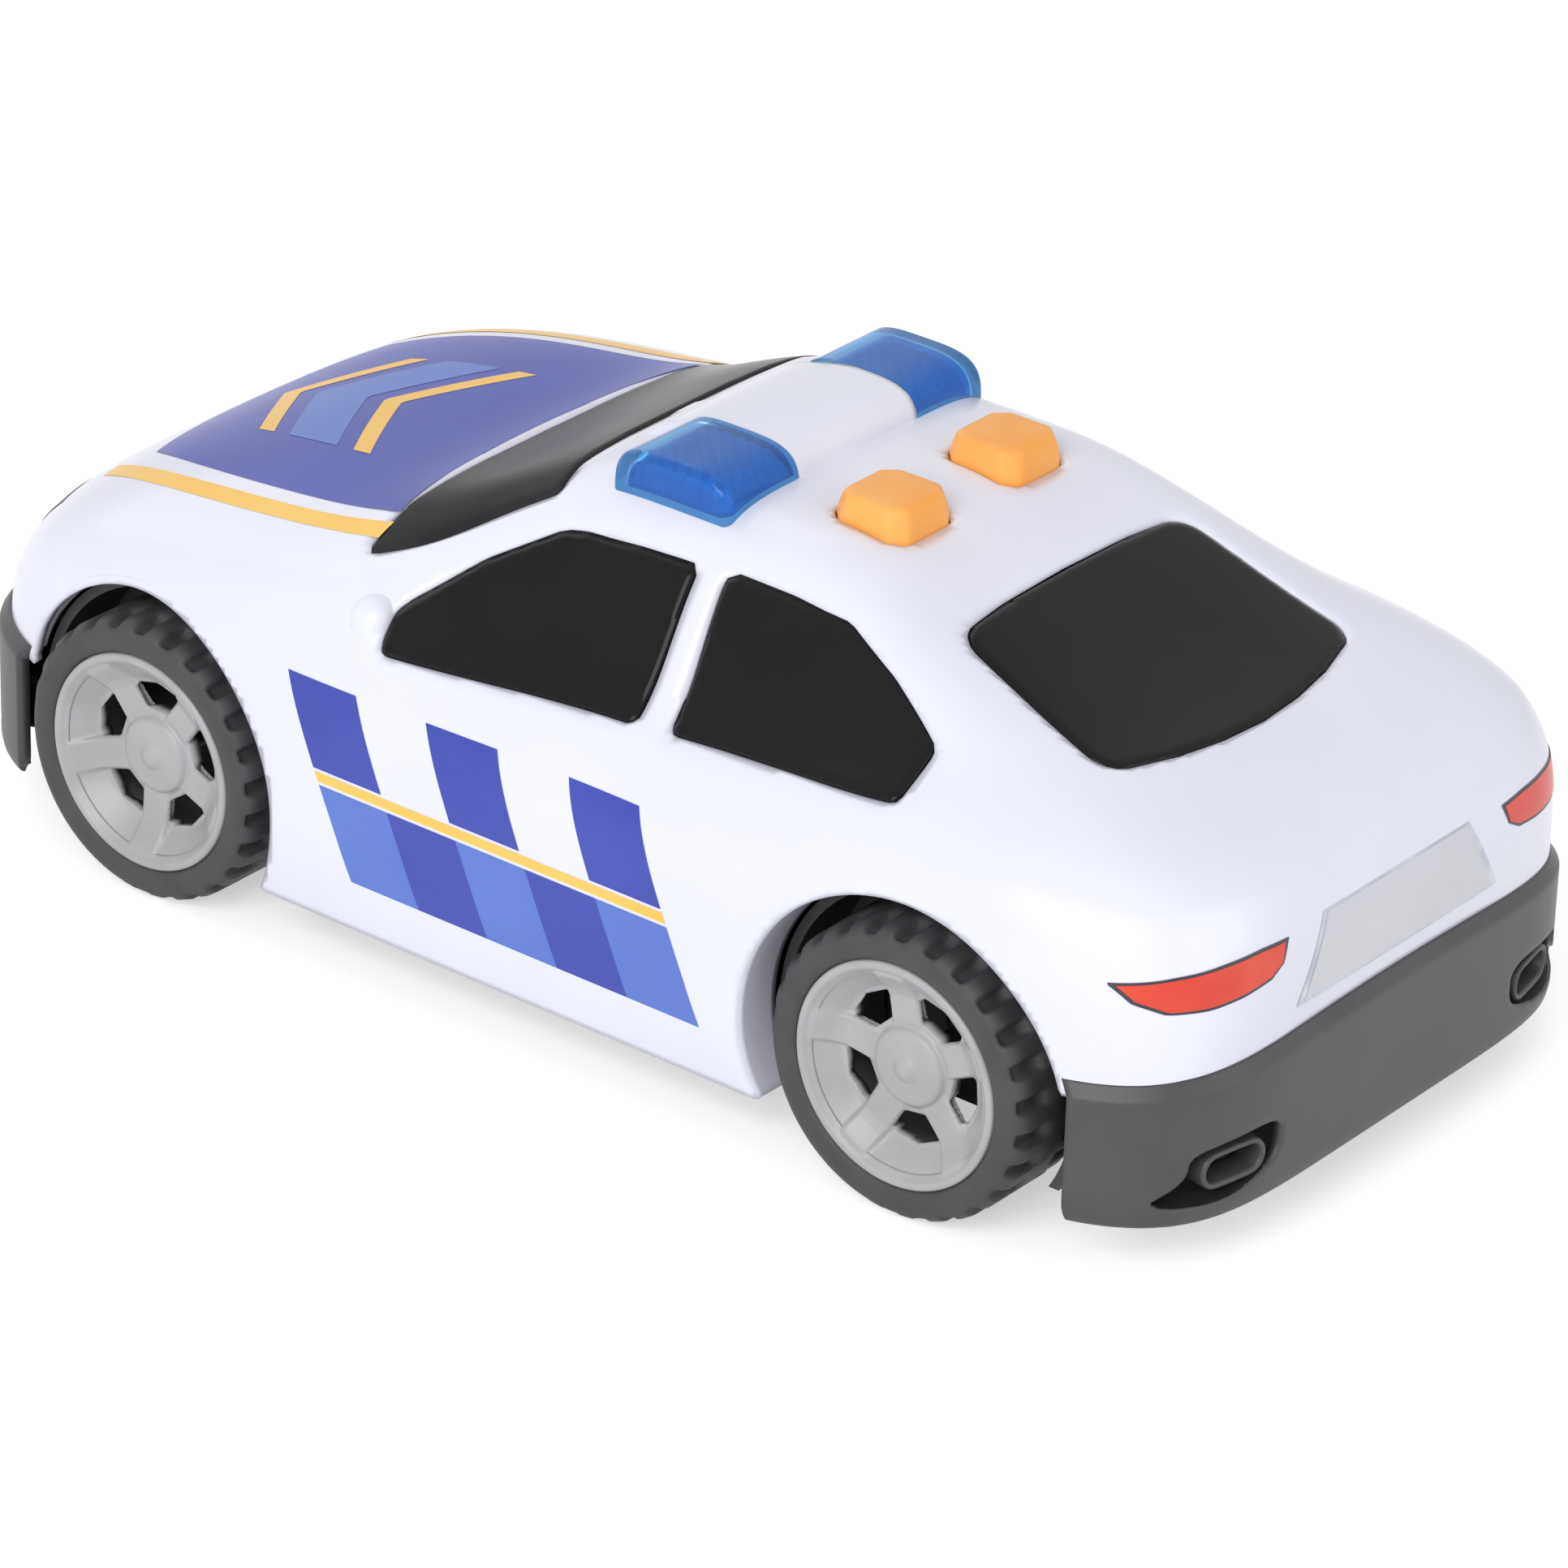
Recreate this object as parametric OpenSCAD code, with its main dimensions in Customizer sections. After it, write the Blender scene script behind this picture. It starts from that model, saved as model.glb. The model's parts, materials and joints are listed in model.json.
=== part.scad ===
// Toy patrol car with a light bar and two sound buttons on the roof, on two free-rolling axles.
// +X is the front, +Y the left side and +Z up. The origin is on the ground between the axles.

/* [Body shell] */
// Length of the body shell without the bumpers
shell_length = 241; // [236:1:246]
// Width of the body shell
shell_width = 121; // [119:0.5:124]
// Distance between the two axles
wheelbase = 148; // [146:0.5:150]
// Height of the roof at its crown
roof_height = 85.5; // [84.5:0.25:87]
// Height at which the sides are widest
waist_height = 24; // [23:0.25:25]
// Height of the sill above the ground
sill_height = 10; // [9.6:0.1:11]
// How far the sill is tucked in under the side
sill_tuck = 1.4; // [1:0.1:2.4]
// Height of the bonnet crown before it falls to the nose
bonnet_height = 69; // [68:0.25:70]
// Height of the boot lid crown before it falls to the tail
boot_height = 66; // [65:0.25:67]
// Depth of the dip in the shoulder beside the doors
shoulder_dip = 7; // [5:0.25:9]
// Wall thickness of the moulded shell
shell_wall = 2; // [1.6:0.1:2.4]
// Radius of the wheel arches
arch_r = 28; // [27.5:0.25:29]
// Thickness of the flange round each wheel arch
arch_flange = 1.6; // [1.2:0.1:2.2]
// Depth of the flange round each wheel arch, inwards from the widest side
arch_depth = 9; // [7:0.5:11]

/* [Cabin] */
// Distance of the cabin middle behind the middle of the wheelbase
cabin_back = 20; // [18:0.5:22]
// Width of the cabin at the belt line
cabin_width = 98; // [95:0.5:100]
// Height of the belt line, where the cabin starts to lean in
belt_height = 57; // [56:0.25:58]
// Length from the cabin middle to the foot of the windscreen
screen_run = 62; // [60:0.5:64]
// Length from the cabin middle to the foot of the rear window
back_run = 73.5; // [71:0.5:75]
// Height of the foot of the rear window
back_foot_height = 64; // [63:0.25:65]
// Width of each door mirror
mirror_width = 5.5; // [5:0.25:6]
// Height of each door mirror
mirror_height = 9; // [8:0.5:10]

/* [Windows] */
// Thickness of the window panes
pane_thickness = 1.8; // [1.4:0.1:2.2]
// Gap round a pane in its opening
pane_gap = 0.15; // [0.1:0.05:0.25]
// Corner radius of the window openings
pane_corner = 1.4; // [1:0.1:2]
// Corner radius of the rear window
back_corner = 5; // [4:0.25:6]
// Length of the row of side windows
side_pane_length = 96.4; // [94:0.2:98]
// Height of the row of side windows
side_pane_height = 23.2; // [22:0.2:24]
// Length of the windscreen opening seen from above
screen_length = 30.7; // [29:0.1:32]
// Width of the windscreen opening
screen_width = 92; // [90:0.5:93]
// Length of the rear window seen from above
back_length = 37; // [36:0.25:38]
// Width of the rear window
back_width = 61.4; // [60:0.2:63]

/* [Light bar] */
// Width of the light bar over both lenses
bar_width = 62.2; // [60:0.2:64]
// Width of the white bridge between the lenses
bridge_width = 28.4; // [26:0.2:30]
// Height of the light bar above its seat
bar_rise = 9; // [8:0.1:10]
// Height of the light bar seat at the front edge of the roof
bar_seat = 81.8; // [81:0.1:82.5]
// Length of the bar from its highest line to its back
bar_back_run = 11.6; // [11:0.1:12.5]
// Length of the bar from its highest line to its front
bar_front_run = 18.5; // [17:0.25:20]
// Distance of the highest line of the bar behind the wheelbase middle
bar_back = 7; // [6:0.25:8]
// Length of a lens from the highest line to its front
lens_front_run = 10.8; // [10:0.1:12]
// Height of the lenses above the seat
lens_rise = 8.5; // [7.5:0.1:9]
// Chamfer round the outer end of a lens
lens_edge = 1; // [0.6:0.1:1.2]
// Radius of the crown across the bar
bar_crown_r = 250; // [200:5:320]
// Wall thickness of the lenses
lens_wall = 1.6; // [1.2:0.1:2]
// Diameter of the light diodes
diode_d = 5; // [4:0.1:5.4]

/* [Buttons] */
// Length of each button cap
button_length = 13.6; // [12.5:0.1:14.5]
// Width of each button cap
button_width = 14.5; // [13.5:0.1:15]
// Height of the cap above the roof crown
button_rise = 3.6; // [3:0.1:4.5]
// Height of the bevelled edge of the cap
button_bevel = 1.6; // [1:0.1:2]
// Cut-off at the corners of the cap
button_corner = 2.4; // [1.8:0.1:3]
// Distance of each button from the middle line
button_side = 13.6; // [13:0.1:14.4]
// Distance of the buttons behind the wheelbase middle
button_back = 35.6; // [34.5:0.1:37]
// Travel of each button
button_travel = 1.6; // [1:0.1:2]
// Gap round a button in its opening
button_gap = 0.3; // [0.2:0.05:0.4]

/* [Bumpers] */
// How far the bumpers stand out from the shell
bumper_stand = 1.5; // [1.2:0.1:2]
// Wall thickness of the bumpers
bumper_wall = 2.4; // [2:0.1:3]
// Height of the lower edge of the bumpers
bumper_foot = 9.5; // [9:0.1:10]
// Height of the upper edge of the bumpers at their ends
bumper_top = 32; // [31:0.25:33]
// How much higher the upper edge is in the middle
bumper_arch = 3; // [2:0.25:4]
// Height of the bevel along the upper edge
bumper_bevel = 2.2; // [1.6:0.1:2.8]
// Distance of the bumper ends from the axle
bumper_end = 29.5; // [29:0.1:31]
// Height of the pockets in the bumpers
pocket_height = 11; // [9:0.25:12]
// Depth of the pockets in the bumpers
pocket_depth = 6; // [4:0.25:7]
// Width of the oval tail pipe rings
pipe_width = 13; // [11:0.25:14]
// Height of the oval tail pipe rings
pipe_height = 6.4; // [5:0.2:7.5]
// Wall of the tail pipe rings
pipe_wall = 1.2; // [1:0.1:1.6]

/* [Wheels] */
// Diameter of the tyres
tyre_d = 46.6; // [46:0.2:48]
// Width of the tyres
tyre_width = 18.5; // [17:0.25:19]
// Distance over the outer faces of the wheels
wheel_track = 119; // [117:0.5:120]
// Diameter of the rims at the tyre
rim_d = 36; // [35:0.25:37]
// Width of the raised lip of a rim
rim_lip = 1.2; // [1:0.1:1.6]
// Depth of the dish behind the lip
rim_dish = 4.6; // [4:0.1:5.2]
// Thickness of the spoke plate
spoke_plate = 3; // [2.4:0.1:4]
// Diameter of the hub on the spoke plate
hub_d = 13; // [12:0.25:14]
// Number of spokes
spoke_count = 5; // [4:1:6]
// Number of notches round each tyre shoulder
notch_count = 26; // [18:1:30]
// Depth of the notches
notch_depth = 1.6; // [1:0.1:2]
// Diameter of the steel axles
axle_d = 4; // [3.5:0.1:4.5]
// Running clearance of the axle in its bearings, on the radius
axle_play = 0.06; // [0.03:0.01:0.1]

/* [Base] */
// Thickness of the base plate
base_plate = 2.4; // [2:0.1:3]
// Gap between the base and the shell
base_gap = 0.35; // [0.25:0.05:0.5]
// Diameter of one battery
cell_d = 14.2; // [13.8:0.1:14.5]
// Length of one battery without its tip
cell_length = 49.5; // [48:0.1:50]
// Diameter of the speaker
speaker_d = 29; // [27:0.5:31]
// Height of the speaker
speaker_height = 8; // [6:0.5:9]
// Thickness of the battery door
door_plate = 2; // [1.6:0.1:2.2]
// Gap round the battery door
door_gap = 0.3; // [0.2:0.05:0.4]
// Diameter of the assembly screws
screw_d = 2.6; // [2.4:0.1:3]
// Diameter of the screw heads
screw_head_d = 5; // [4.6:0.1:5.4]

/* [Hidden] */
$fn = 48;

// Overrun that takes each cut clear through its piece
overrun = 1;
// Gap between pieces that lie against each other
seat_gap = 0.1;

// Powers of the rounded outlines: plan of the body, nose and tail in side view, cabin and roof edge
front_plan_power = 5;
rear_plan_power = 6;
nose_power = 3;
tail_power = 5.8;
front_section_power = 4;
rear_section_power = 5.4;
cabin_power = 6;
roof_power = 8;
blend_power = 14;
// Length gained by the slopes of the cabin for each unit of height
cabin_taper_share = 0.478;
screen_rake_share = 1.72;
back_rake_share = 2.28;

// Mesh of the moulded skin
station_steps = 44;
arc_steps = 30;
low_steps = 2;
cast_steps = 16;
pane_steps = 10;
// How much of the half length the last station keeps
end_share = 0.9985;

half_length = shell_length / 2;
half_width = shell_width / 2;
cabin_mid = -cabin_back;
axle_x = wheelbase / 2;
axle_z = tyre_d / 2;
wheel_face = wheel_track / 2;
tyre_inner = wheel_face - tyre_width;
dip_mid_share = -0.116;
dip_reach_share = 0.465;

// A quarter of a rounded outline: 1 at the middle, 0 at the end
function round_off(t, power) = pow(max(1 - pow(min(abs(t), 1), power), 0), 1 / power);

// Half width of the lower body, drawn in by d
function plan_power(x) = x > 0 ? front_plan_power : rear_plan_power;
function plan_width(x, d) = (half_width - d) * round_off(x / (half_length - d), plan_power(x));

// Crown of the bonnet and boot, which dips beside the doors
function dip_shape(t) = pow(max(1 - t * t, 0), 2);
function crown_line(x) =
    boot_height + (bonnet_height - boot_height) * (x / shell_length + 1 / 2)
    - shoulder_dip * dip_shape((x / half_length - dip_mid_share) / dip_reach_share);
function crown_height(x, d) =
    waist_height + (crown_line(x) - d - waist_height)
    * round_off(x / (half_length - d), x > 0 ? nose_power : tail_power);
function section_power(x) =
    rear_section_power + (front_section_power - rear_section_power) * (x / shell_length + 1 / 2);

// Level of a point against the lower body: below 1 inside, 1 on the skin
function lower_level(x, y, z, d) =
    let (power = section_power(x))
    let (across = abs(y) / plan_width(x, d))
    let (up = max(z - waist_height, 0) / (crown_height(x, d) - waist_height))
    pow(pow(across, power) + pow(up, power), 1 / power);

// Level of a point against the cabin, which leans in on all sides
function lean(share) = sqrt(1 + share * share);
function cabin_half(z, d) =
    cabin_width / 2 - cabin_taper_share * (z - belt_height) - d * lean(cabin_taper_share);
function front_reach(z, d) =
    screen_run - screen_rake_share * (z - bonnet_height) - d * lean(screen_rake_share);
function back_reach(z, d) =
    back_run - back_rake_share * (z - back_foot_height) - d * lean(back_rake_share);
function cabin_level(x, y, z, d) =
    let (high = max(z, belt_height))
    let (reach = x > cabin_mid ? front_reach(high, d) : back_reach(high, d))
    let (along = abs(x - cabin_mid) / max(reach, shell_wall))
    let (across = abs(y) / cabin_half(high, d))
    let (plan = pow(pow(along, cabin_power) + pow(across, cabin_power), 1 / cabin_power))
    let (up = max(z - waist_height, 0) / (roof_height - d - waist_height))
    pow(pow(plan, roof_power) + pow(up, roof_power), 1 / roof_power);

// The two forms flow into each other
function skin_level(x, y, z, d) =
    pow(pow(lower_level(x, y, z, d), -blend_power) + pow(cabin_level(x, y, z, d), -blend_power),
        -1 / blend_power);

// Point of the skin at station x, seen from the waist line under an angle
function cast(x, a, d, near, far, n) =
    let (r = (near + far) / 2)
    n == 0 ? r :
    skin_level(x, r * cos(a), waist_height + r * sin(a), d) < 1
        ? cast(x, a, d, r, far, n - 1)
        : cast(x, a, d, near, r, n - 1);
function skin_point(x, a, d) =
    let (r = cast(x, a, d, 0, shell_width, cast_steps))
    [x, r * cos(a), waist_height + r * sin(a)];

// Height of the skin above a point of the plan
function climb(x, y, d, low, high, n) =
    let (z = (low + high) / 2)
    n == 0 ? z :
    skin_level(x, y, z, d) < 1 ? climb(x, y, d, z, high, n - 1) : climb(x, y, d, low, z, n - 1);
function skin_height(x, y, d) = climb(x, y, d, waist_height, roof_height + waist_height, cast_steps);

// Half width of the skin below the waist, where the sill is tucked in
function side_half(x, z, d) =
    plan_width(x, d) - sill_tuck * pow((waist_height - z) / (waist_height - sill_height), 2);
function low_height(k) = sill_height + (waist_height - sill_height) * k / low_steps;
function skin_ring(x, d) = concat(
    [for (k = [0 : low_steps - 1]) [x, side_half(x, low_height(k), d), low_height(k)]],
    [for (k = [0 : arc_steps]) skin_point(x, 180 * k / arc_steps, d)],
    [for (k = [low_steps - 1 : -1 : 0]) [x, -side_half(x, low_height(k), d), low_height(k)]]
);

// Stations lie closer together towards nose and tail
function station(k, d) = (half_length - d) * end_share * sin(180 * k / station_steps - 90);
ring_count = arc_steps + 2 * low_steps + 1;
function skin_rings(d, step) = [for (k = [0 : step : station_steps]) each skin_ring(station(k, d), d)];

// Two triangles of a grid cell, seen from outside or inside
function cell(a, b, c, d, outside) = outside ? [[a, b, c], [a, c, d]] : [[a, c, b], [a, d, c]];
function grid_faces(first, rows, columns, outside) = [
    for (i = [0 : rows - 2]) for (j = [0 : columns - 2])
        let (a = first + i * columns + j)
        each cell(a, a + columns, a + columns + 1, a + 1, outside)
];

// Closed body of the skin drawn in by d, with every second station
module skin_body(d) {
    rows = station_steps / 2;
    last = rows * ring_count;
    polyhedron(
        points = skin_rings(d, 2),
        faces = concat(
            grid_faces(0, rows + 1, ring_count, true),
            [[for (j = [0 : ring_count - 1]) j]],
            [[for (j = [ring_count - 1 : -1 : 0]) last + j]],
            [for (i = [0 : rows - 1])
                let (a = i * ring_count)
                let (b = a + ring_count - 1)
                each cell(a, b, b + ring_count, a + ring_count, true)]
        )
    );
}

// Shell between the skin and its inner wall, open at the bottom
module skin_shell() {
    inner = (station_steps + 1) * ring_count;
    last = station_steps * ring_count;
    right = ring_count - 1;
    polyhedron(
        points = concat(skin_rings(0, 1), skin_rings(shell_wall, 1)),
        faces = concat(
            grid_faces(0, station_steps + 1, ring_count, true),
            grid_faces(inner, station_steps + 1, ring_count, false),
            [[for (j = [0 : right]) j]],
            [[for (j = [right : -1 : 0]) inner + j]],
            [[for (j = [right : -1 : 0]) last + j]],
            [[for (j = [0 : right]) inner + last + j]],
            cell(0, right, inner + right, inner, true),
            cell(last + right, last, inner + last, inner + last + right, true),
            [for (i = [0 : station_steps - 1])
                let (a = i * ring_count)
                each cell(a + ring_count, a, inner + a, inner + a + ring_count, true)],
            [for (i = [0 : station_steps - 1])
                let (a = i * ring_count + right)
                each cell(a, a + ring_count, inner + a + ring_count, inner + a, true)]
        )
    );
}

// Curved plate of the skin between two stations and two angles
module skin_patch(x_low, x_high, a_low, a_high, across_steps) {
    rows = pane_steps + 1;
    columns = across_steps + 1;
    function place(i, j, d) = skin_point(x_low + (x_high - x_low) * i / pane_steps,
                                         a_low + (a_high - a_low) * j / across_steps, d);
    function sheet(d) = [for (i = [0 : pane_steps]) for (j = [0 : across_steps]) place(i, j, d)];
    inner = rows * columns;
    last = pane_steps * columns;
    polyhedron(
        points = concat(sheet(seat_gap), sheet(seat_gap + pane_thickness)),
        faces = concat(
            grid_faces(0, rows, columns, true),
            grid_faces(inner, rows, columns, false),
            [for (j = [0 : across_steps - 1]) each cell(j, j + 1, inner + j + 1, inner + j, true)],
            [for (j = [0 : across_steps - 1])
                each cell(last + j + 1, last + j, inner + last + j, inner + last + j + 1, true)],
            [for (i = [0 : pane_steps - 1])
                let (a = i * columns)
                each cell(a + columns, a, inner + a, inner + a + columns, true)],
            [for (i = [0 : pane_steps - 1])
                let (a = i * columns + across_steps)
                each cell(a, a + columns, inner + a + columns, inner + a, true)]
        )
    );
}

// Outline with its corners rounded and its edge drawn in
module soft_outline(points, corner, inset) {
    offset(delta = -inset) offset(r = corner, $fn = 24) offset(delta = -corner) polygon(points);
}

// Side windows: shares of the row's length from its front and of its height from the belt
front_pane_shares = [
    [0.012, 0.01], [0, 0.23], [0.015, 0.31], [0.1, 0.6], [0.22, 0.9], [0.26, 0.93],
    [0.37, 0.96], [0.48, 0.975], [0.485, 0.08]
];
rear_pane_shares = [
    [0.546, 0.1], [0.53, 0.975], [0.55, 1], [0.66, 0.995], [0.77, 0.96], [0.88, 0.77],
    [1, 0.515], [0.993, 0.26]
];
// Front end and base of the row of side windows, as shares of the cabin's reach and of the belt
row_front_share = 0.786;
row_front = cabin_mid + screen_run * row_front_share;
row_base_drop = 1;
row_base = belt_height - row_base_drop;
function row_points(shares) =
    [for (s = shares) [row_front - s[0] * side_pane_length, row_base + s[1] * side_pane_height]];

// Windscreen and rear window from above: shares of the length from the top edge and of the half width
screen_shares = [
    [0.115, 0], [0.105, 0.3], [0.07, 0.55], [0, 0.72], [0.9, 1], [0.965, 0.68], [0.99, 0.35], [1, 0]
];
back_shares = [[0, 0], [0.008, 0.5], [0.035, 0.9], [0.85, 1], [0.945, 0.6], [0.985, 0.3], [1, 0]];
function both_halves(half) = concat(
    half,
    [for (i = [len(half) - 2 : -1 : 1]) [half[i][0], -half[i][1]]]
);
screen_top_share = 0.517;
screen_top = cabin_mid + screen_run * screen_top_share;
back_top_share = 0.51;
back_top = cabin_mid - back_run * back_top_share;
screen_points = [for (s = both_halves(screen_shares))
    [screen_top + s[0] * screen_length, s[1] * screen_width / 2]];
back_points = [for (s = both_halves(back_shares))
    [back_top - s[0] * back_length, s[1] * back_width / 2]];

module side_prism(shares, inset) {
    translate([0, half_width + overrun, 0])
        rotate([90, 0, 0])
            linear_extrude(half_width / 2)
                soft_outline(row_points(shares), pane_corner, inset);
}
module top_prism(points, corner, inset) {
    translate([0, 0, waist_height])
        linear_extrude(roof_height)
            soft_outline(points, corner, inset);
}

// Angles under which the windows are seen from the waist line
side_low_angle = 26;
side_high_angle = 66;
screen_angle = 34;
back_angle = 46;

module side_pane(shares, front, back) {
    low = row_front - back * side_pane_length - overrun;
    high = row_front - front * side_pane_length + overrun;
    color("#26252a")
        intersection() {
            skin_patch(low, high, side_low_angle, side_high_angle, pane_steps);
            side_prism(shares, pane_gap);
        }
}
module front_window_left() {
    side_pane(front_pane_shares, front_pane_shares[1][0], front_pane_shares[8][0]);
}
module rear_window_left() {
    side_pane(rear_pane_shares, rear_pane_shares[1][0], rear_pane_shares[6][0]);
}
module front_window_right() { mirror([0, 1, 0]) front_window_left(); }
module rear_window_right() { mirror([0, 1, 0]) rear_window_left(); }

module windscreen() {
    color("#3a3a3e")
        intersection() {
            skin_patch(screen_top - overrun, screen_top + screen_length + overrun,
                       screen_angle, 180 - screen_angle, 2 * pane_steps);
            top_prism(screen_points, pane_corner, pane_gap);
        }
}
module rear_window() {
    color("#26252a")
        intersection() {
            skin_patch(back_top - back_length - overrun, back_top + overrun,
                       back_angle, 180 - back_angle, 2 * pane_steps);
            top_prism(back_points, back_corner, pane_gap);
        }
}

// Light bar: a white bridge with rounded side view and crowned top, and a lens on each side
bar_x = -bar_back;
bar_top = bar_seat + bar_rise;
bar_back_power = 3.7;
bar_front_power = 1.65;
bar_steps = 12;
function bar_line(t, inset) =
    let (run = (t < 0 ? bar_back_run : bar_front_run) - inset)
    [bar_x + t * run,
     bar_seat + (bar_rise - inset) * round_off(t, t < 0 ? bar_back_power : bar_front_power)];
// A lens is a block with upright walls and a barrel top
lens_power = 3.7;
function lens_line(t, inset) =
    [bar_x + t * ((t < 0 ? bar_back_run : lens_front_run) - inset),
     bar_seat + (lens_rise - inset) * round_off(t, lens_power)];
module lens_block(low, high, inset, foot) {
    curve = [for (k = [-bar_steps : bar_steps]) lens_line(sin(90 * k / bar_steps), inset)];
    base = [[bar_x + lens_front_run - inset, foot], [bar_x - bar_back_run + inset, foot]];
    translate([0, high, 0])
        rotate([90, 0, 0])
            linear_extrude(high - low)
                polygon(concat(curve, base));
}
// The lenses start under the roof wall
lens_foot_drop = 4.2;
lens_foot = bar_seat - lens_foot_drop;
lens_gap = 0.15;
lens_tab = 1.4;
lens_low = bridge_width / 2 + lens_gap;
lens_high = bar_width / 2;
diode_x = bar_x;
diode_y = (lens_low + lens_high) / 2;

module bridge() {
    front = bar_x + bar_front_run;
    back = bar_x - bar_back_run;
    curve = [for (k = [-bar_steps : bar_steps]) bar_line(sin(90 * k / bar_steps), 0)];
    floor_line = [for (k = [0 : bar_steps])
        let (x = front + (back - front) * k / bar_steps)
        [x, skin_height(x, bridge_width / 2, shell_wall / 2)]];
    intersection() {
        translate([0, bridge_width / 2, 0])
            rotate([90, 0, 0])
                linear_extrude(bridge_width)
                    polygon(concat(
                        [for (p = curve) if (p[1] > skin_height(p[0], 0, shell_wall / 2)) p],
                        floor_line
                    ));
        translate([0, 0, bar_top - bar_crown_r])
            rotate([0, 90, 0])
                cylinder(r = bar_crown_r, h = shell_length, center = true, $fn = 96);
    }
}
module lens() {
    color("#2f62b8", 0.8)
        difference() {
            union() {
                hull() {
                    lens_block(lens_low, lens_high - lens_edge, 0, lens_foot);
                    lens_block(lens_low, lens_high, lens_edge, lens_foot);
                }
                translate([bar_x - bar_back_run - lens_tab, lens_low + lens_edge, lens_foot + seat_gap])
                    cube([lens_tab + lens_wall / 2, lens_high - lens_low - 2 * lens_edge, lens_wall]);
            }
            lens_block(lens_low + lens_wall, lens_high - lens_wall, lens_wall, lens_foot - overrun);
        }
}
module beacon_lens_left() { lens(); }
module beacon_lens_right() { mirror([0, 1, 0]) lens(); }
module lens_opening() {
    translate([bar_x - bar_back_run - lens_gap, lens_low - lens_gap, lens_foot])
        cube([bar_back_run + lens_front_run + 2 * lens_gap, lens_high - lens_low + 2 * lens_gap, bar_rise]);
}

// Circuit board under the roof, hung from posts
board_top = 71;
board_thickness = 1.6;
board_front = 6;
board_back = 52;
board_width = 62;
post_d = 6;
post_edge = 6;
post_spread = board_width / 2 - post_edge;
post_front = 23.6;
post_back = 47.5;
post_places = [[-post_front, post_spread], [-post_front, -post_spread], [-post_back, 0]];
board_screw_d = 2;
board_screw_head_d = 4;
board_screw_head = 1.4;
board_screw_length = 7;
screw_fit = 0.03;
hole_gap = 0.25;

// Buttons: a bevelled cap on a flange that stays under the roof
button_x = -button_back;
button_flange = 1.2;
button_flange_thickness = 1.4;
button_stem_d = 6;
cap_top = roof_height + button_rise;
roof_under = skin_height(button_x - button_length / 2 - button_flange,
                         button_side + button_width / 2 + button_flange, shell_wall);
flange_top = roof_under - button_gap;
dome_d = 8;
dome_wall = 1;
dome_height = button_travel + 2 * dome_wall;
stem_foot = board_top + dome_height + button_gap;

module cap_outline(inset) {
    l = button_length / 2 - inset;
    w = button_width / 2 - inset;
    c = button_corner;
    polygon([
        [l, w - c], [l - c, w], [c - l, w], [-l, w - c],
        [-l, c - w], [c - l, -w], [l - c, -w], [l, c - w]
    ]);
}
module button() {
    flange_foot = flange_top - button_flange_thickness;
    bevel_foot = cap_top - button_bevel;
    color("#ffb152")
        translate([button_x, button_side, 0]) {
            hull() {
                translate([0, 0, flange_foot])
                    linear_extrude(bevel_foot - flange_foot)
                        cap_outline(0);
                translate([0, 0, cap_top - seat_gap])
                    linear_extrude(seat_gap)
                        cap_outline(button_bevel);
            }
            translate([0, 0, flange_foot])
                linear_extrude(button_flange_thickness)
                    cap_outline(-button_flange);
            translate([0, 0, stem_foot])
                cylinder(d = button_stem_d, h = flange_foot - stem_foot + button_flange_thickness);
        }
}
module button_left() { button(); }
module button_right() { mirror([0, 1, 0]) button(); }
module button_opening() {
    translate([button_x, button_side, board_top])
        linear_extrude(roof_height)
            cap_outline(-button_gap);
}
module rubber_dome() {
    r = dome_d / 2;
    top_r = button_stem_d / 2;
    color("#8d8f92")
        translate([button_x, button_side, board_top])
            rotate_extrude()
                polygon([
                    [0, dome_height], [top_r, dome_height], [r, dome_wall], [r + dome_wall, dome_wall],
                    [r + dome_wall, 0], [r - dome_wall, 0], [top_r - dome_wall, dome_height - dome_wall],
                    [0, dome_height - dome_wall]
                ]);
}
module rubber_dome_left() { rubber_dome(); }
module rubber_dome_right() { mirror([0, 1, 0]) rubber_dome(); }

module circuit_board() {
    color("#2f6b3f")
        difference() {
            translate([-board_back, -board_width / 2, board_top - board_thickness])
                cube([board_back + board_front, board_width, board_thickness]);
            for (p = post_places)
                translate([p[0], p[1], board_top - board_thickness - overrun])
                    cylinder(d = board_screw_d + 2 * hole_gap, h = board_thickness + 2 * overrun);
        }
}
module board_screws() {
    color("#b9bcc0")
        for (p = post_places)
            translate([p[0], p[1], board_top - board_thickness]) {
                translate([0, 0, -board_screw_head])
                    cylinder(d = board_screw_head_d, h = board_screw_head);
                cylinder(d = board_screw_d, h = board_screw_length);
            }
}
diode_height = 7.4;
diode_rim = 0.6;
diode_rim_height = 1;
module beacon_diodes() {
    r = diode_d / 2;
    color("#dfe7f5")
        for (side = [-1, 1])
            translate([diode_x, side * diode_y, board_top])
                rotate_extrude()
                    union() {
                        square([r, diode_height - r]);
                        square([r + diode_rim, diode_rim_height]);
                        intersection() {
                            translate([0, diode_height - r])
                                circle(r = r);
                            square([r, diode_height]);
                        }
                    }
}

// Posts and bosses moulded inside the shell
boss_d = 8;
boss_front = 101;
boss_back = 100;
boss_side = 30;
boss_places = [
    [boss_front, boss_side], [boss_front, -boss_side],
    [-boss_back, boss_side], [-boss_back, -boss_side]
];
base_top = sill_height + base_plate;
boss_foot = base_top + seat_gap;
shell_screw_length = 14;
screw_head = 2;
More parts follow.
